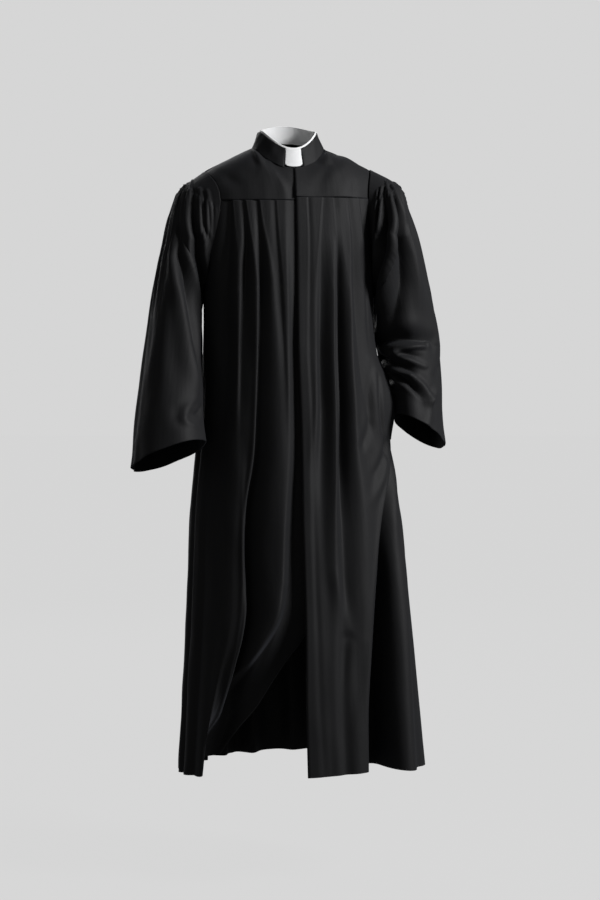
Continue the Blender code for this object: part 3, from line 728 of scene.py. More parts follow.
def front_panel(side, edge):
    """Where a front's points lie: its bearings, its drops, and how far its rolled edges go inwards."""
    u, down = np.meshgrid(np.linspace(0, 1, 150), DOWN)
    drop = FRONT_YOKE_DROP[side] + SEAM_GAP + (HEM_DROP - FRONT_YOKE_DROP[side]) * down
    start, end = bearing_at(edge, drop), side_edge(side, "front", drop)
    from_edge = u * np.abs(end - start) * metres_per_degree(drop)
    return start + (end - start) * u, drop, rolled(drop - drop[0]) + rolled(from_edge, EDGE_ROLL)


bearing, drop, edges = front_panel("right", FRONT_EDGE + FRONT_LAP)
folds = long_folds(FRONT_RIGHT_FOLDS, bearing, drop, -1)
inward = (folds + uneven(bearing, drop, 21)) * beside_seam(bearing) + lap_depth(bearing, drop) + edges
points = body(bearing, drop, -inward)

# The lean fades out towards the side seam and the free edge, and the fall back towards the side seam
leaning = soft_step(-75, -45, bearing) * (1 - soft_step(-12, 0, bearing))
points[..., 0] -= FOLD_LEAN * folds * leaning
falling = soft_step(-62, 4, bearing) ** 1.3
aside, back, up = (read(SWING["drop"], SWING[name], drop) for name in ("aside", "back", "up"))
points += np.stack([-aside, back, up], axis=-1) * falling[..., None]
piece = lay_cloth("cloth_front_right", points[:, ::-1])
finish_piece(piece, black_cloth("front_right gabardine", 1))

# The left front: the same panel mirrored, on top. Its edge is turned back and pressed flat, and the
# seam of its facing shows as a line beside the edge. Its side falls into a deep fold at the hem.

SIDE_FOLD_LEAN = 0.40  # how far the side's deep fold leans towards the side, as a share of its depth
POCKET_TOP_DROP = 0.452
POCKET_END_DROP = 0.637
POCKET_STANDS_OFF = 0.019
FRONT_LEFT_FOLDS = [
    long_fold(
        (110, 6.2, 1.2, 1.4, 3),
        (303, 6.8, 1.4, 1.6, 4),
        (686, 6.2, 1.6, 2.6, 5),
        (1006, 5.6, 1.8, 3.6, 5),
        (1352, 7, 1.4, 5, 6),
    ),
    long_fold(
        (110, 15.4, 1.8, 1.2, 8),
        (207, 13.2, 2.6, 2, 12),
        (319, 14.2, 7, 5.2, 15),
        (452, 13.8, 11, 4.6, 15),
        (541, 12.4, 12, 5, 15),
        (620, 11.2, 11, 6.4, 15),
        (720, 10, 8, 10, 13),
        (860, 9.6, 3, 12, 10),
        (1000, 10.5, 1.2, 12, 10),
        (1352, 10.5, 2, 10, 10),
    ),
    long_fold(
        (480, 11.6, 0, 20, 6),
        (600, 10.6, -1.6, 24, 8),
        (720, 9, -3, 26, 15),
        (900, 9, -3, 26, 18),
        (1200, 9, -1.6, 26, 18),
    ),
    long_fold(
        (190, 21.8, 0, 10, 3),
        (260, 22, -4, 12, 3.5),
        (363, 22.6, -8, 13, 3.6),
        (452, 22, -9, 12, 3.6),
        (541, 20.4, -9, 12, 3.8),
        (697, 18.2, -9, 12, 4.4),
        (794, 16.6, -7, 12, 6),
        (900, 15.4, -6, 13, 9),
        (1008, 15, -3, 12, 10),
        (1170, 13.6, -2, 12, 10),
    ),
    long_fold(
        (110, 22.6, 1.8, 1.2, 8),
        (207, 24.8, 3, 1.6, 8),
        (260, 26.4, 12, 3, 9),
        (363, 28.2, 19, 4.2, 10),
        (452, 27.8, 23, 4.4, 10.5),
        (541, 26, 24, 4.4, 11),
        (620, 24.2, 24, 4.6, 12),
        (697, 22.8, 22, 5.2, 14),
        (760, 21.8, 17, 6.4, 16),
        (830, 21.4, 10, 8, 16),
        (930, 20.6, 7, 9, 16),
        (1030, 19, 3.5, 11, 14),
        (1170, 17.2, 3.6, 11, 12),
        (1352, 17, 3.6, 11, 12),
    ),
    long_fold(
        (110, 32.4, 0, 6, 3),
        (230, 36, -2.2, 7, 4),
        (363, 37.6, -5, 8, 8),
        (498, 36, -6, 8, 12),
        (630, 34, -6, 10, 16),
        (794, 35, -6, 16, 22),
        (930, 34, -6, 20, 20),
        (1060, 30.5, -5, 20, 18),
        (1200, 26, -4, 20, 16),
        (1352, 23, -4, 20, 14),
    ),
    long_fold(
        (110, 34.6, 2, 1.2, 8),
        (230, 40, 4, 4, 14),
        (363, 44.5, 6, 8, 18),
        (440, 46, 4, 8, 18),
        (560, 47, 4, 10, 18),
        (650, 48, 0, 10, 18),
    ),
    long_fold(
        (110, 47, 1.8, 1.4, 8),
        (230, 54, 2.4, 4, 10),
        (340, 58, 3, 6, 6),
        (440, 60, 0, 7, 6),
    ),
    long_fold(
        (640, 84, 0, 8, 14),
        (700, 70, 14, 8, 20),
        (782, 55, 40, 7, 20),
        (846, 48.6, 60, 7, 23),
        (923, 44.2, 80, 7.4, 26),
        (1004, 40.4, 94, 8, 29),
        (1116, 36.6, 102, 8.6, 33),
        (1203, 34.4, 104, 9.4, 36),
        (1352, 32.4, 104, 10.4, 39),
    ),
    long_fold(
        (780, 78, 0, 20, 20),
        (900, 67, -14, 24, 20),
        (1004, 62, -21, 28, 24),
        (1203, 56, -27, 31, 28),
        (1352, 53, -29, 33, 30),
    ),
    long_fold(
        (740, 70, 0, 3, 6),
        (860, 66.5, 2.4, 3, 6),
        (1004, 64, 3, 4, 8),
        (1203, 61, 3, 4, 8),
        (1352, 60, 2.4, 4, 8),
    ),
]

# The short pulls at the knee and the pocket, which have bearings for their places across, measured
# round the panel at its middle
BOW_ROUND = BOW.replace("across_mm", "across")
PULLS_MIDDLE_DROP = 0.8
FRONT_LEFT_PULLS = table(
    BOW_ROUND,
    (15.5, 900, 17.2, 960, 20.4, 1040, 0, -4, -2, 8, 10),
    (20.6, 1050, 22.5, 1062, 25.5, 1080, 0.6, 1, 0, 6, 8),
    (19.6, 1060, 18.6, 1110, 17.6, 1180, 0.6, 1.4, 0, 6, 8),
    (22.6, 1070, 20.6, 1130, 19.6, 1230, -1, -1.6, 0, 8, 8),
    (28, 1090, 25, 1160, 22, 1260, 1, 3, 0, 12, 12),
    (66, 640, 55, 690, 43, 720, 4, 5, 0, 12, 10),
    (62, 680, 50, 735, 38, 780, -2, -4, 0, 12, 12),
    (48, 600, 40, 640, 34, 660, 2, 4, 0, 10, 10),
    (64, 500, 60, 580, 66, 680, 2, 4, 2, 6, 8),
    (58, 480, 50, 560, 52, 660, 1, 4, 0, 10, 10),
)


def pocket_opening(bearing, drop):
    """The pocket's free edge stands off the body, so that the pocket is open."""
    along = np.clip((drop - POCKET_TOP_DROP) / (POCKET_END_DROP - POCKET_TOP_DROP), 0, 1)
    return POCKET_STANDS_OFF * np.sin(np.pi * along) ** 1.2 * soft_step(58, 90, bearing)


def bows_round(folds, bearing, drop, degree):
    """Short folds whose places are bearings, where a degree has the given length in metres."""
    placed = folds.copy()
    for name in ("across", "mid_across", "end_across"):
        placed[name] *= degree
    return bows(placed, bearing * degree, drop)


def left_front_inward(bearing, drop):
    """How far the left front's folds, pulls and unevenness take it inwards."""
    inward = long_folds(FRONT_LEFT_FOLDS, bearing, drop, 1) + uneven(bearing, drop, 33)
    inward += bows_round(FRONT_LEFT_PULLS, bearing, drop, metres_per_degree(PULLS_MIDDLE_DROP))
    return inward * beside_seam(bearing) - pocket_opening(bearing, drop)


bearing, drop, edges = front_panel("left", FRONT_EDGE)
inward = left_front_inward(bearing, drop) + edges
points = body(bearing, drop, -inward)
in_side_fold = soft_step(0.75, 0.95, drop) * soft_step(25, 38, bearing) * (1 - soft_step(72, 86, bearing))
points[..., 0] += SIDE_FOLD_LEAN * inward * in_side_fold
piece = lay_cloth("cloth_front_left", points)
finish_piece(piece, black_cloth("front_left gabardine", 2))

# The pocket's welt: a narrow double strip of the same cloth, sewn on beside the pocket's opening.
# It is made from the left front's own surface, moved out by the cloth that it lies on.

WELT_WALL = 0.0011
WELT_CLEAR = 0.0007
WELT_ROLL = 0.0012
WELT_FROM_SEAM_DEGREES = 11
WELT_WIDTH_DEGREES = 9
u, down = np.meshgrid(np.linspace(0, 1, 26), np.linspace(0, 1, 90))
drop = POCKET_TOP_DROP + (POCKET_END_DROP - POCKET_TOP_DROP) * down
bearing = side_edge("left", "front", drop) - WELT_FROM_SEAM_DEGREES + WELT_WIDTH_DEGREES * u
inward = left_front_inward(bearing, drop) - WELT_WALL - WELT_CLEAR
sides = np.minimum(u, 1 - u) * WELT_WIDTH_DEGREES * metres_per_degree(drop)
ends = np.minimum(down, 1 - down) * (POCKET_END_DROP - POCKET_TOP_DROP)
inward += rolled(np.minimum(sides, ends), WELT_ROLL)
piece = lay_cloth("cloth_pocket_welt", body(bearing, drop, -inward), WELT_WALL)
finish_piece(piece, black_cloth("pocket_welt gabardine", 3))

# The back: one wide panel, pleated into the back yoke all the way across. Each pleat is pressed at
# the top and falls into a long soft fold that deepens to the hem.

BACK_RUMPLE = 0.0040
PLEAT_NEAR = 0.0014  # half a pleat's width on the side of its pressed edge
PLEAT_AWAY = 0.010  # and on the other side
BACK_LEVELS = {"yoke": BACK_YOKE_DROP, "waist": 0.500, "knee": 0.950, "hem": HEM_DROP}

# The bearing of each pleat at each level, its depth there, and half its width once it has opened
BACK_FOLDS = table(
    "yoke waist knee hem deep_yoke_mm deep_waist_mm deep_knee_mm deep_hem_mm near_mm away_mm",
    (97, 96, 92, 90, 0, 4, 10, 16, 16, 20),
    (108, 107, 103, 99, 2, 4, 5, 6, 10, 12),
    (118, 116, 112, 108, 3, 8, 15, 23, 18, 24),
    (128, 125, 121, 118, 2, 4, 3, 2, 8, 10),
    (138, 136, 132, 128, 3, 12, 21, 31, 16, 22),
    (146, 145, 143, 140, 2, 4, 4, 6, 8, 10),
    (154, 152, 149, 147, 3, 11, 17, 22, 14, 18),
    (169, 168, 166, 164, 3, 12, 19, 28, 14, 18),
    (184, 184, 183, 182, 3, 9, 14, 20, 13, 16),
    (199, 200, 202, 203, 3, 13, 21, 32, 14, 20),
    (207, 208, 211, 212, 2, 4, 3, 5, 8, 10),
    (215, 217, 219, 220, 3, 9, 14, 20, 14, 18),
    (224, 226, 228, 229, 2, 3, 4, 3, 8, 10),
    (232, 234, 236, 238, 3, 11, 19, 30, 16, 22),
    (244, 245, 247, 247, 2, 4, 5, 6, 10, 12),
    (257, 256, 255, 254, 0, 7, 16, 26, 20, 24),
)

u, down = np.meshgrid(np.linspace(0, 1, 206), DOWN)
drop = BACK_YOKE_DROP + SEAM_GAP + (HEM_DROP - BACK_YOKE_DROP) * down
start = side_edge("left", "back", drop)
bearing = start + (360 - 2 * start) * u
opened = soft_step(0.10, 0.50, drop)
levels = list(BACK_LEVELS.values())
inward = uneven(bearing, drop, 45, BACK_RUMPLE, BACK_YOKE_DROP) - swells(bearing, drop)
for fold in BACK_FOLDS:
    place = read(levels, [fold[level] for level in BACK_LEVELS], drop)
    deep = read(levels, [fold["deep_" + level] for level in BACK_LEVELS], drop)
    across = (bearing - place) * metres_per_degree(drop) * (1 if fold["yoke"] < 180 else -1)
    near = PLEAT_NEAR + (fold["near"] - PLEAT_NEAR) * opened
    away = PLEAT_AWAY + (fold["away"] - PLEAT_AWAY) * opened
    inward += deep * trough(across / np.where(across < 0, near, away))
inward = inward * beside_seam(bearing) + rolled(drop - drop[0])
piece = lay_cloth("cloth_back", body(bearing, drop, -inward))
finish_piece(piece, black_cloth("back gabardine", 4))

# The sleeves: full bell sleeves of the same cloth, gathered along a line just outside the armhole.
# The right sleeve hangs free. The left one bends towards the pocket, which creases it at the elbow.

ARMHOLE_GAP = 0.0011
ARMHOLE_INSET = 0.0008
SLEEVE_SQUARENESS = 0.92  # 1 is an oval, less is squarer
SLEEVE_RADIUS = 0.095  # by which the degrees round a sleeve become metres
SLEEVE_RUMPLE = 0.0060

# Stations down each sleeve: the centre, half the width and depth, and in degrees how much the outer
# side is raised, the front side lifted, and the front side brought in towards the body
STATION = "x_mm y_mm z_mm wide_mm deep_mm raised lifted inward"
STATION_PLACES = np.append(0, np.linspace(0.07, 1, 8))
SLEEVE = {
    "right": table(
        STATION,
        (204.5, -4, -198, 119, 92, 82, 0, 0),
        (221.5, -6, -238, 102, 96, 71, 0, 2),
        (234.5, -14, -296, 78, 99, 57, 2, 4),
        (242, -28, -363, 66, 100, 39, 4, 6),
        (248, -50, -440, 63, 100, 21, 7, 8),
        (252.5, -76, -524, 67, 103, 4, 10, 8),
        (257, -104, -602, 73, 107, -8, 12, 8),
        (256, -126, -668, 82, 112, -18, 14, 8),
    ),
    "left": table(
        STATION,
        (212, 10, -192, 120, 94, 80, 0, 0),
        (229, 19, -238, 106, 98, 70, -3, -2),
        (245, 34, -302, 86, 101, 55, -6, -2),
        (256, 52, -368, 75, 103, 33, -8, 0),
        (269.5, 64, -430, 68.5, 106, 10, -3, 4),
        (275.5, 64, -490, 65.5, 110, -8, 4, 4),
        (286.5, 54, -556, 58.5, 114, -20, 9, 3),
        (292.5, 40, -620, 63, 118, -28, 13, 3),
    ),
}

# Long folds of a sleeve. The bearing goes round the sleeve here: 0 outside, 90 front, 180 inside.
SLEEVE_FOLDS = {
    "right": [
        long_fold(
            (90, 84, -3, 5, 5),
            (131, 82, -5, 6, 6),
            (169, 83, -6, 7, 7),
            (219, 91, -7, 9, 9),
            (270, 105, -7, 10, 10),
            (333, 129, -6, 11, 11),
            (400, 146, -3, 12, 12),
            (460, 156, 0, 12, 12),
        ),
        long_fold(
            (110, 103, -3, 4, 4),
            (143, 101, -5, 5, 5),
            (183, 102, -6, 6, 6),
            (218, 112, -6, 7, 7),
            (256, 125, -5, 8, 8),
            (300, 148, 0, 8, 8),
        ),
        long_fold(
            (115, 112, -3, 3, 3),
            (144, 109, -4, 4, 4),
            (181, 110, -4, 4, 4),
            (205, 115, 0, 4, 4),
        ),
        long_fold(
            (180, 65, 0, 10, 8),
            (219, 71, -4, 10, 8),
            (271, 83, -8, 14, 9),
            (322, 93, -9, 16, 10),
            (397, 104, -9, 18, 12),
            (452, 112, -8, 18, 13),
            (522, 127, -5, 18, 14),
            (560, 132, 0, 18, 14),
        ),
        long_fold(
            (240, 71, 0, 8, 8),
            (322, 76, -2, 10, 10),
            (490, 84, -2, 14, 14),
            (600, 89, 0, 14, 14),
        ),
        long_fold(
            (95, 62, 2, 6, 6),
            (169, 69, 6, 8, 8),
            (220, 77, 9, 9, 9),
            (272, 92, 10, 10, 10),
            (334, 108, 10, 11, 11),
            (398, 120, 9, 12, 12),
            (460, 132, 7, 12, 12),
            (540, 146, 0, 12, 12),
        ),
        long_fold(
            (112, 92, 3, 4, 4),
            (160, 92, 7, 6, 6),
            (195, 96, 9, 7, 7),
            (244, 110, 9, 8, 8),
            (293, 132, 7, 10, 10),
            (380, 158, 0, 12, 12),
        ),
        long_fold(
            (78, 30, 2, 6, 6),
            (150, 34, 5, 10, 10),
            (260, 40, 6, 14, 14),
            (420, 46, 3, 20, 20),
            (600, 50, 0, 20, 20),
        ),
        long_fold(
            (75, 2, 2, 7, 7),
            (160, 4, 6, 12, 12),
            (300, 10, 7, 16, 16),
            (480, 16, 4, 20, 20),
            (640, 18, 2, 20, 20),
        ),
        long_fold(
            (78, -32, 2, 6, 6),
            (160, -30, 7, 10, 10),
            (320, -26, 9, 14, 14),
            (520, -22, 6, 18, 18),
            (660, -20, 4, 20, 20),
        ),
        long_fold(
            (85, -64, 3, 6, 6),
            (170, -62, 7, 9, 9),
            (320, -60, 10, 12, 12),
            (520, -58, 8, 16, 16),
            (660, -56, 5, 20, 20),
        ),
        long_fold(
            (105, -92, 3, 5, 5),
            (180, -92, 7, 8, 8),
            (300, -96, 9, 10, 10),
            (460, -98, 7, 14, 14),
            (640, -98, 3, 20, 20),
        ),
        long_fold(
            (130, -116, 3, 4, 4),
            (200, -118, 6, 7, 7),
            (320, -124, 7, 10, 10),
            (480, -128, 5, 14, 14),
            (640, -130, 2, 20, 20),
        ),
    ],
    "left": [
        long_fold(
            (92, 85, -4, 5, 4),
            (122, 81, -9, 6, 5),
            (174, 80, -12, 7, 7),
            (219, 89, -12, 9, 9),
            (269, 102, -9, 12, 13),
            (319, 116, -7, 12, 14),
            (380, 132, 0, 12, 14),
        ),
        long_fold(
            (106, 98, -4, 3, 3),
            (150, 95, -9, 4, 4),
            (183, 96, -11, 5, 5),
            (218, 106, -10, 6, 6),
            (256, 116, -8, 7, 7),
            (300, 134, 0, 8, 8),
        ),
        long_fold(
            (112, 106, -3, 2, 2),
            (140, 104, -6, 3, 3),
            (175, 106, -6, 3, 3),
            (205, 113, 0, 3, 3),
        ),
        long_fold(
            (112, 101.5, 3, 2, 2),
            (140, 99.5, 6, 3, 3),
            (180, 101, 6, 3, 3),
            (215, 112, 4, 4, 4),
            (250, 124, 0, 4, 4),
        ),
        long_fold(
            (100, 69, -2, 5, 5),
            (134, 64, -4, 7, 6),
            (180, 56, -6, 12, 9),
            (256, 60, -8, 18, 11),
            (333, 67, -6, 22, 12),
            (400, 72, 0, 22, 12),
        ),
        long_fold(
            (100, 76, 3, 4, 4),
            (142, 71, 10, 5, 5),
            (193, 71, 16, 9, 8),
            (269, 82, 18, 13, 12),
            (332, 96, 15, 17, 16),
            (390, 110, 10, 18, 20),
            (430, 120, 0, 18, 20),
        ),
        long_fold(
            (106, 91.5, 4, 3, 3),
            (156, 88, 10, 4, 4),
            (193, 91, 14, 6, 6),
            (244, 105, 14, 8, 8),
            (294, 122, 8, 10, 10),
            (370, 150, 0, 12, 12),
        ),
        long_fold(
            (72, 38, 1, 6, 6),
            (140, 36, 3, 10, 10),
            (240, 32, 3, 16, 16),
            (380, 30, 0, 20, 20),
        ),
        long_fold(
            (72, 6, 2, 7, 7),
            (150, 6, 6, 11, 11),
            (300, 6, 7, 16, 16),
            (460, 8, 3, 20, 20),
            (600, 10, 0, 20, 20),
        ),
        long_fold(
            (75, -28, 2, 6, 6),
            (150, -28, 7, 10, 10),
            (300, -26, 9, 14, 14),
            (460, -24, 6, 18, 18),
            (620, -24, 3, 20, 20),
        ),
        long_fold(
            (85, -60, 3, 6, 6),
            (160, -60, 7, 9, 9),
            (300, -58, 10, 12, 12),
            (460, -56, 7, 16, 16),
            (620, -54, 4, 20, 20),
        ),
        long_fold(
            (105, -88, 3, 5, 5),
            (180, -90, 7, 8, 8),
            (300, -92, 9, 11, 11),
            (450, -94, 6, 14, 14),
            (600, -94, 2, 20, 20),
        ),
        long_fold(
            (130, -114, 3, 4, 4),
            (200, -116, 6, 7, 7),
            (320, -120, 7, 10, 10),
            (460, -124, 4, 14, 14),
            (600, -124, 0, 20, 20),
        ),
    ],
}

# Short creases of a sleeve, in the same degrees round it
SLEEVE_CREASES = {
    "right": table(
        BOW_ROUND,
        (123, 545, 112, 566, 109, 584, -1, -3, -3, 8, 8),
        (109, 584, 114, 596, 130, 602, -2, -3, -1, 7, 7),
        (101, 550, 101, 572, 104, 594, 0, 2, 1, 10, 10),
        (138, 566, 130, 576, 118, 576, 3, 4, 1, 7, 7),
        (-60, 500, -80, 520, -100, 528, 2, 5, 2, 10, 10),
        (-70, 545, -88, 556, -104, 552, 1, 4, 1, 10, 10),
        (-20, 470, -40, 500, -52, 540, 0, 4, 0, 12, 12),
    ),
    "left": table(
        BOW_ROUND,
        (134, 426, 96, 420, 69, 422, 10, 17, 9, 5.5, 19),
        (109, 444, 92, 435, 74, 432, -4, -6, -3, 4.5, 4.5),
        (109, 446, 98, 460, 76, 476, -6, -7, -3, 5, 7),
        (104, 452, 94, 451, 80, 453, 3, 4, 1, 5, 6),
        (150, 458, 114, 469, 94, 486, 9, 15, 6, 5.5, 9),
        (132, 482, 112, 486, 94, 496, -4, -6, -5, 4.5, 4.5),
        (94, 496, 83, 516, 75, 550, -5, -6, -4, 7, 7),
        (132, 485, 118, 499, 103, 520, -3, -5, -1, 4.5, 6),
        (120, 490, 102, 508, 86, 540, 10, 15, 3, 5.5, 8),
        (154, 502, 136, 507, 118, 508, 7, 10, 3, 5, 8),
        (150, 520, 148, 550, 148, 600, -2, -7, -5, 26, 26),
        (85, 522, 77, 555, 83, 600, -2, -6, -3, 10, 9),
        (52, 524, 66, 540, 77, 556, -1, -5, -5, 9, 9),
        (40, 400, 52, 420, 56, 450, 0, 4, 0, 12, 12),
        (30, 450, 40, 480, 58, 500, 0, 5, 2, 12, 12),
        (-60, 420, -84, 440, -110, 436, 2, 7, 4, 10, 12),
        (-40, 470, -76, 482, -108, 470, 0, 6, 4, 10, 10),
        (-20, 510, -60, 536, -96, 520, 0, 4, 2, 12, 12),
    ),
}

# The gathers' flutes, and where they start, by how far round the sleeve from its outer side
FLUTE_DEGREES = 5.2
WIDE_FLUTE_DEGREES = 8.7
FLUTE_DEPTH = 0.0024
FLUTE_REACH = 0.055
PUFF = 0.0030
PUFF_REACH = 0.12
GATHERS_START = table(
    "bearing drop_mm",
    (0, 70),
    (58, 80),
    (85, 90),
    (100, 106),
    (112, 114),
    (120, 136),
    (150, 300),
)


def yoke_edge(side, half, v):
    """The yoke's edge at the armhole."""
    drop = FRONT_YOKE_DROP[side] if half == "front" else BACK_YOKE_DROP
    return yoke(side, half, armhole_bearing(side, half, np.full_like(v, drop)), np.ones_like(v), v)


def spaced_along(line, share):
    """Points at the given shares of a line's length."""
    travelled = np.append(0, np.cumsum(np.linalg.norm(np.diff(line, axis=0), axis=1)))
    return np.stack([np.interp(share * travelled[-1], travelled, line[:, k]) for k in range(3)], axis=-1)


def armhole(side, turn):
    """The sleeve's own edge beside the armhole: from the shoulder down the front, and up the back."""
    rising = np.linspace(0, 1, 9)
    edges = []
    for half, first in (("front", FRONT_YOKE_DROP[side]), ("back", BACK_YOKE_DROP)):
        rows = np.linspace(first, UNDERARM_DROP, 24)
        edges.append(body(armhole_bearing(side, half, rows), rows, np.full_like(rows, -ARMHOLE_INSET)))
    down = np.concatenate([yoke_edge(side, "front", rising)[::-1], edges[0]])
    up = np.concatenate([edges[1][::-1], yoke_edge(side, "back", rising)])
    on_front = spaced_along(down, np.clip(turn / 180, 0, 1))
    on_back = spaced_along(up, np.clip(turn / 180 - 1, 0, 1))
    points = np.where((turn <= 180)[..., None], on_front, on_back)
    points[..., 0] += SIDE[side] * ARMHOLE_GAP
    return points


def station_ring(side, station, turn):
    """A ring round the smooth sleeve at a station."""
    raised, lifted, inward = (np.radians(station[name]) for name in ("raised", "lifted", "inward"))
    outer = np.array([SIDE[side] * np.cos(raised), 0, np.sin(raised)])
    forward = np.array([-SIDE[side] * np.sin(inward), -np.cos(lifted) * np.cos(inward), np.sin(lifted)])
    centre = np.array([SIDE[side] * station["x"], station["y"], station["z"]])
    sine, cosine = np.sin(np.radians(turn))[..., None], np.cos(np.radians(turn))[..., None]
    across = power(cosine, SLEEVE_SQUARENESS) * station["wide"] * outer
    return centre + across + power(sine, SLEEVE_SQUARENESS) * station["deep"] * forward


def sleeve_form(side, turn, v):
    """The smooth sleeve: at each turn, a curve from the armhole through the stations."""
    rings = [armhole(side, turn)] + [station_ring(side, station, turn) for station in SLEEVE[side]]
    return read(STATION_PLACES, rings, v)


def round_sleeve(side, points):
    """The place of each point round its sleeve, in degrees from the outer side over the front."""
    stations = SLEEVE[side][::-1]
    x = np.interp(points[..., 2], stations["z"], stations["x"])
    y = np.interp(points[..., 2], stations["z"], stations["y"])
    return np.degrees(np.arctan2(y - points[..., 1], points[..., 0] * SIDE[side] - x))


def gathers(bearing, drop, seed):
    """Small uneven flutes that start on the gathering line and die out below it, on a puffed head."""
    waves = np.random.default_rng(seed)
    wander = np.zeros_like(bearing)
    for times_round in (2, 3, 5, 7):
        most = waves.uniform(1.0, 2.6)
        wander += most * np.sin(np.radians(bearing) * times_round + waves.uniform(0, 6.3))
    fine, coarse = (bearing + wander) / FLUTE_DEGREES, (bearing - wander) / WIDE_FLUTE_DEGREES
    flutes = np.cos(2 * np.pi * fine) + 0.5 * np.cos(2 * np.pi * coarse)
    below = drop - np.interp(np.abs(bearing), GATHERS_START["bearing"], GATHERS_START["drop"])
    reach = FLUTE_REACH + 0.035 * np.sin(np.radians(bearing) * 9 + seed)
    lasting = soft_step(0, 0.006, below) * np.exp(-np.maximum(below, 0) / reach)
    puffed = PUFF * soft_step(-0.002, 0.010, below) * np.exp(-np.maximum(below, 0) / PUFF_REACH)
    return (FLUTE_DEPTH * flutes + 0.0006) * lasting - puffed


degree_round = np.pi / 180 * SLEEVE_RADIUS
turn = np.linspace(0, 360, 201)
v = np.concatenate([np.linspace(0, 0.07, 34)[:-1], np.linspace(0.07, 1, 155)])
for side in SIDE:
    form = sleeve_form(side, turn, v)
    if side == "left":
        form = form[:, ::-1]
    bearing, drop = round_sleeve(side, form), -form[..., 2]
    inward = gathers(bearing, drop, seed=5 + SIDE[side])
    for fold in SLEEVE_FOLDS[side]:
        place, deep, near, away = read_fold(fold, drop)
        across = degrees_between(bearing, place) * degree_round
        begun = drop > fold["drop"][0] - 0.02
        inward += deep * trough(across / np.where(across < 0, near, away)) * begun
    inward += bows_round(SLEEVE_CREASES[side], bearing, drop, degree_round)
    inward *= soft_step(0, 0.02, v)[:, None]
    life = rumple(bearing * degree_round, drop, 60 + SIDE[side], SLEEVE_RUMPLE)
    inward += life * soft_step(0.10, 0.35, v)[:, None]
    points = form - facings(form) * inward[..., None]
    points[:, -1] = points[:, 0]
    piece = lay_cloth("cloth_sleeve_" + side, points, tube=True, outside=True)
    finish_piece(piece, black_cloth("sleeve_" + side + " gabardine", 6 + SIDE[side]))

# The collar: a standing collar of the black cloth, sewn to the yokes' neckline. It stands open in front
# as a square notch, and its upper edge and its ends are turned in.

COLLAR_WALL = 0.0016
COLLAR_INSET = 0.0004
COLLAR_FOOT = -0.0024
COLLAR_ROLL = 0.0014
TAB_WIDTH = 0.040
COLLAR = {
    "half_width": 0.0655,
    "front": 0.078,
    "back": 0.054,
    "front_rise": -0.007,
    "side_rise": 0.036,
    "back_rise": 0.050,
}
COLLAR_HEIGHT = COLLAR["front_rise"] - NECK["front_rise"]
NOTCH_BEARING = np.degrees(np.arcsin((TAB_WIDTH / 2 + SEAM_GAP) / COLLAR["front"]))


def collar_face(bearing, height, inward):
    """Points inside the collar's outer face: height is 0 at the neckline and 1 at the top."""
    low, high = neck_ring(NECK, bearing), neck_ring(COLLAR, bearing)
    middle = (low + high) / 2 * np.array([0.975, 0.985, 1])
    t = height[..., None]
    sine, cosine = np.sin(np.radians(bearing)), np.cos(np.radians(bearing))
    outward = turned(np.stack([sine, -cosine, np.zeros_like(sine)], axis=-1), NECK_TURN)
    curve = (1 - t) ** 2 * low + 2 * (1 - t) * t * middle + t**2 * high
    return turned(curve - outward * inward[..., None], SHOULDER_TURN)


u, v = np.meshgrid(np.linspace(0, 1, 220), np.linspace(1, 0, 36))
foot = COLLAR_FOOT / COLLAR_HEIGHT
bearing = NOTCH_BEARING + (360 - 2 * NOTCH_BEARING) * u
from_end = np.minimum(u, 1 - u) * np.radians(360 - 2 * NOTCH_BEARING) * NECK["front"]
inward = COLLAR_INSET + rolled(v * COLLAR_HEIGHT, COLLAR_INSET)
inward += rolled((1 - v) * COLLAR_HEIGHT, COLLAR_ROLL) + rolled(from_end, COLLAR_ROLL)

# Its cloth is stiffened and lies nearly even: low waves run round it, and climb as they go
for deep, times_round, climb in ((0.0005, 7, 5), (0.0004, 17, -4)):
    inward += deep * np.sin(np.radians(bearing) * times_round + climb * v)
piece = lay_cloth("cloth_collar", collar_face(bearing, foot + (1 - foot) * v, inward), COLLAR_WALL)
finish_piece(piece, black_cloth("collar gabardine", 8))

# The collar's band: a strip of starched white linen that stands inside the collar all the way round. It
# is a little higher than the collar, so that it shows as a white line above it.

BAND_WALL = 0.0012
BAND_INSET = 0.0035
BAND_FOOT = 0.10
BAND_PROUD = 0.004
BAND_ROLL = 0.0008
LINEN_PITCH = 0.0007
LINEN = (0.80, 0.81, 0.82, 1)
BRIGHT_LINEN = (0.90, 0.90, 0.89, 1)


def white_linen(name, seed):
    """Starched white linen: a plain weave, nearly smooth."""
    finish = Finish(name, {"Metallic": 0.0, "Sheen Weight": 0.05, "Specular IOR Level": 0.35})
    weave, across, down = finish.weave()
    threads = (across * (2 * np.pi / LINEN_PITCH)).sine() * (down * (2 * np.pi / LINEN_PITCH)).sine()
    patches = finish.node("ShaderNodeTexNoise", {}, {"Vector": weave, "Scale": 60.0 + seed, "Detail": 3.0})
    colour = finish.node("ShaderNodeMix", {"data_type": "RGBA"}, {
        "Factor": patches, 6: LINEN, 7: BRIGHT_LINEN}, 2)
    bump = finish.node("ShaderNodeBump", {}, {"Strength": 0.3, "Distance": 0.0001, "Height": threads})
    finish.surface(Base_Color=colour, Roughness=0.55 + patches * 0.1, Normal=bump)
    return finish.material


top = 1 + BAND_PROUD / COLLAR_HEIGHT
inward = BAND_INSET + rolled((1 - v) * COLLAR_HEIGHT, BAND_ROLL)
points = collar_face(360 * u, BAND_FOOT + (top - BAND_FOOT) * v, inward)
points[:, -1] = points[:, 0]
piece = lay_cloth("cloth_collar_band", points, BAND_WALL, tube=True)
finish_piece(piece, white_linen("collar_band linen", 1))

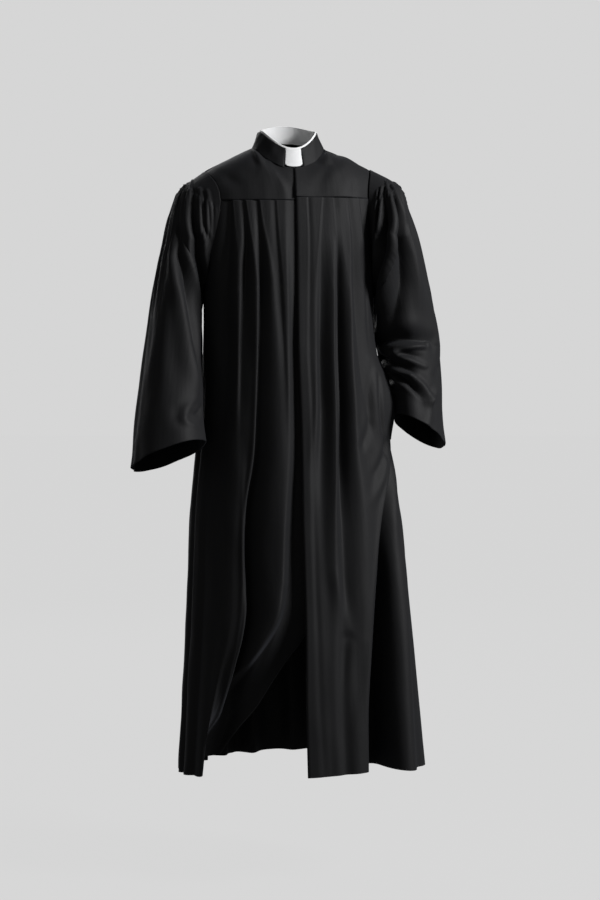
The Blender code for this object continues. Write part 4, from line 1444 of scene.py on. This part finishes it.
# The collar's tab: a square of the same starched linen that fills the notch. Its upper edge is level
# with the collar's, and its lower corners are eased upwards.

TAB_WALL = 0.0016
TAB_PROUD = 0.0002
TAB_FOOT = 0.06
TAB_CORNER = 0.08
TAB_CLEAR_DEGREES = 0.5
TAB_ROLL = 0.0010

u, v = np.meshgrid(np.linspace(-1, 1, 60), np.linspace(1, 0, 60))
half = NOTCH_BEARING - TAB_CLEAR_DEGREES
sides = (1 - np.abs(u)) * np.radians(half) * COLLAR["front"]
corner = TAB_CORNER * soft_step(0.55, 1.0, np.abs(u)) ** 2
inward = rolled(np.minimum(sides, np.minimum(v, 1 - v) * COLLAR_HEIGHT), TAB_ROLL) - TAB_PROUD
points = collar_face(half * u, TAB_FOOT + corner * (1 - v) + (1 - TAB_FOOT) * v, inward)
piece = lay_cloth("cloth_collar_tab", points, TAB_WALL)
finish_piece(piece, white_linen("collar_tab linen", 2))

# The studio: a pale floor below the robe and a pale surround. One soft light stands at the robe's left
# and above it, a weak one at the front right, and a broad one behind.

FLOOR_DROP = 1.60
FLOOR_HALF = 30.0
PALE = (0.672, 0.672, 0.672, 1)
WHITE = (1.0, 1.0, 1.0, 1)
SURROUND_LIGHT = 0.09
floor_mesh = bmesh.new()
bmesh.ops.create_grid(floor_mesh, x_segments=1, y_segments=1, size=FLOOR_HALF)
bmesh.ops.translate(floor_mesh, verts=floor_mesh.verts, vec=(0, 0, -FLOOR_DROP))
mesh = bpy.data.meshes.new("floor")
floor_mesh.to_mesh(mesh)
floor_mesh.free()
floor = bpy.data.objects.new("floor", mesh)
bpy.context.scene.collection.objects.link(floor)
paper = Finish("pale floor", {
    "Base Color": (0.02, 0.02, 0.02, 1),
    "Roughness": 1.0,
    "Specular IOR Level": 0.0,
    "Emission Color": PALE,
    "Emission Strength": 0.99,
})
floor.data.materials.append(paper.material)
floor.visible_diffuse = False
floor.visible_glossy = False

world = bpy.data.worlds.new("surround")
bpy.context.scene.world = world
world.use_nodes = True
nodes, links = world.node_tree.nodes, world.node_tree.links
seen = nodes["Background"]
seen.inputs["Color"].default_value = PALE
lighting = nodes.new("ShaderNodeBackground")
lighting.inputs["Color"].default_value = WHITE
lighting.inputs["Strength"].default_value = SURROUND_LIGHT
path, choose = nodes.new("ShaderNodeLightPath"), nodes.new("ShaderNodeMixShader")
links.new(path.outputs["Is Camera Ray"], choose.inputs["Fac"])
links.new(lighting.outputs["Background"], choose.inputs[1])
links.new(seen.outputs["Background"], choose.inputs[2])
links.new(choose.outputs["Shader"], nodes["World Output"].inputs["Surface"])


def soft_light(name, place, aim, size, watts, colour=WHITE[:3]):
    """A square soft light at a place, facing the point that it is aimed at."""
    light = bpy.data.lights.new(name, "AREA")
    light.size = size
    light.energy = watts
    light.color = colour
    lamp = bpy.data.objects.new(name, light)
    bpy.context.scene.collection.objects.link(lamp)
    away = unit(np.array(place, float) - np.array(aim, float))
    flat = np.hypot(away[0], away[1])
    lamp.location = place
    lamp.rotation_euler = (np.arctan2(flat, away[2]), 0, np.arctan2(away[0], -away[1]))
    lamp.visible_camera = False


soft_light("key light", (3.05, -1.65, 1.35), (0, 0, -0.5), size=1.1, watts=178, colour=(0.99, 0.99, 1.0))
soft_light("front fill", (-2.5, -4.0, 0.6), (0, 0, -0.6), size=2.5, watts=10)
soft_light("back light", (-1.5, 4.5, 1.6), (0, 0, -0.6), size=3.0, watts=90)

# The camera: a 100 mm lens, 5.5 m in front of the robe and 0.45 m below its neck. It is tipped down a
# little, and moved to the side as far as the robe stands off the picture's middle.

CAMERA_PLACE = np.array([0.0275, -5.5, -0.45])
CAMERA_AIM = np.array([0.0275, 0.0, -0.66])
view = bpy.data.cameras.new("photo view")
view.lens = 100
view.sensor_width = 36
camera = bpy.data.objects.new("photo view", view)
bpy.context.scene.collection.objects.link(camera)
look = CAMERA_AIM - CAMERA_PLACE
camera.location = CAMERA_PLACE
camera.rotation_euler = (np.pi / 2 + np.arctan2(look[2], look[1]), 0, 0)
bpy.context.scene.camera = camera
bpy.context.scene.view_settings.view_transform = "Standard"
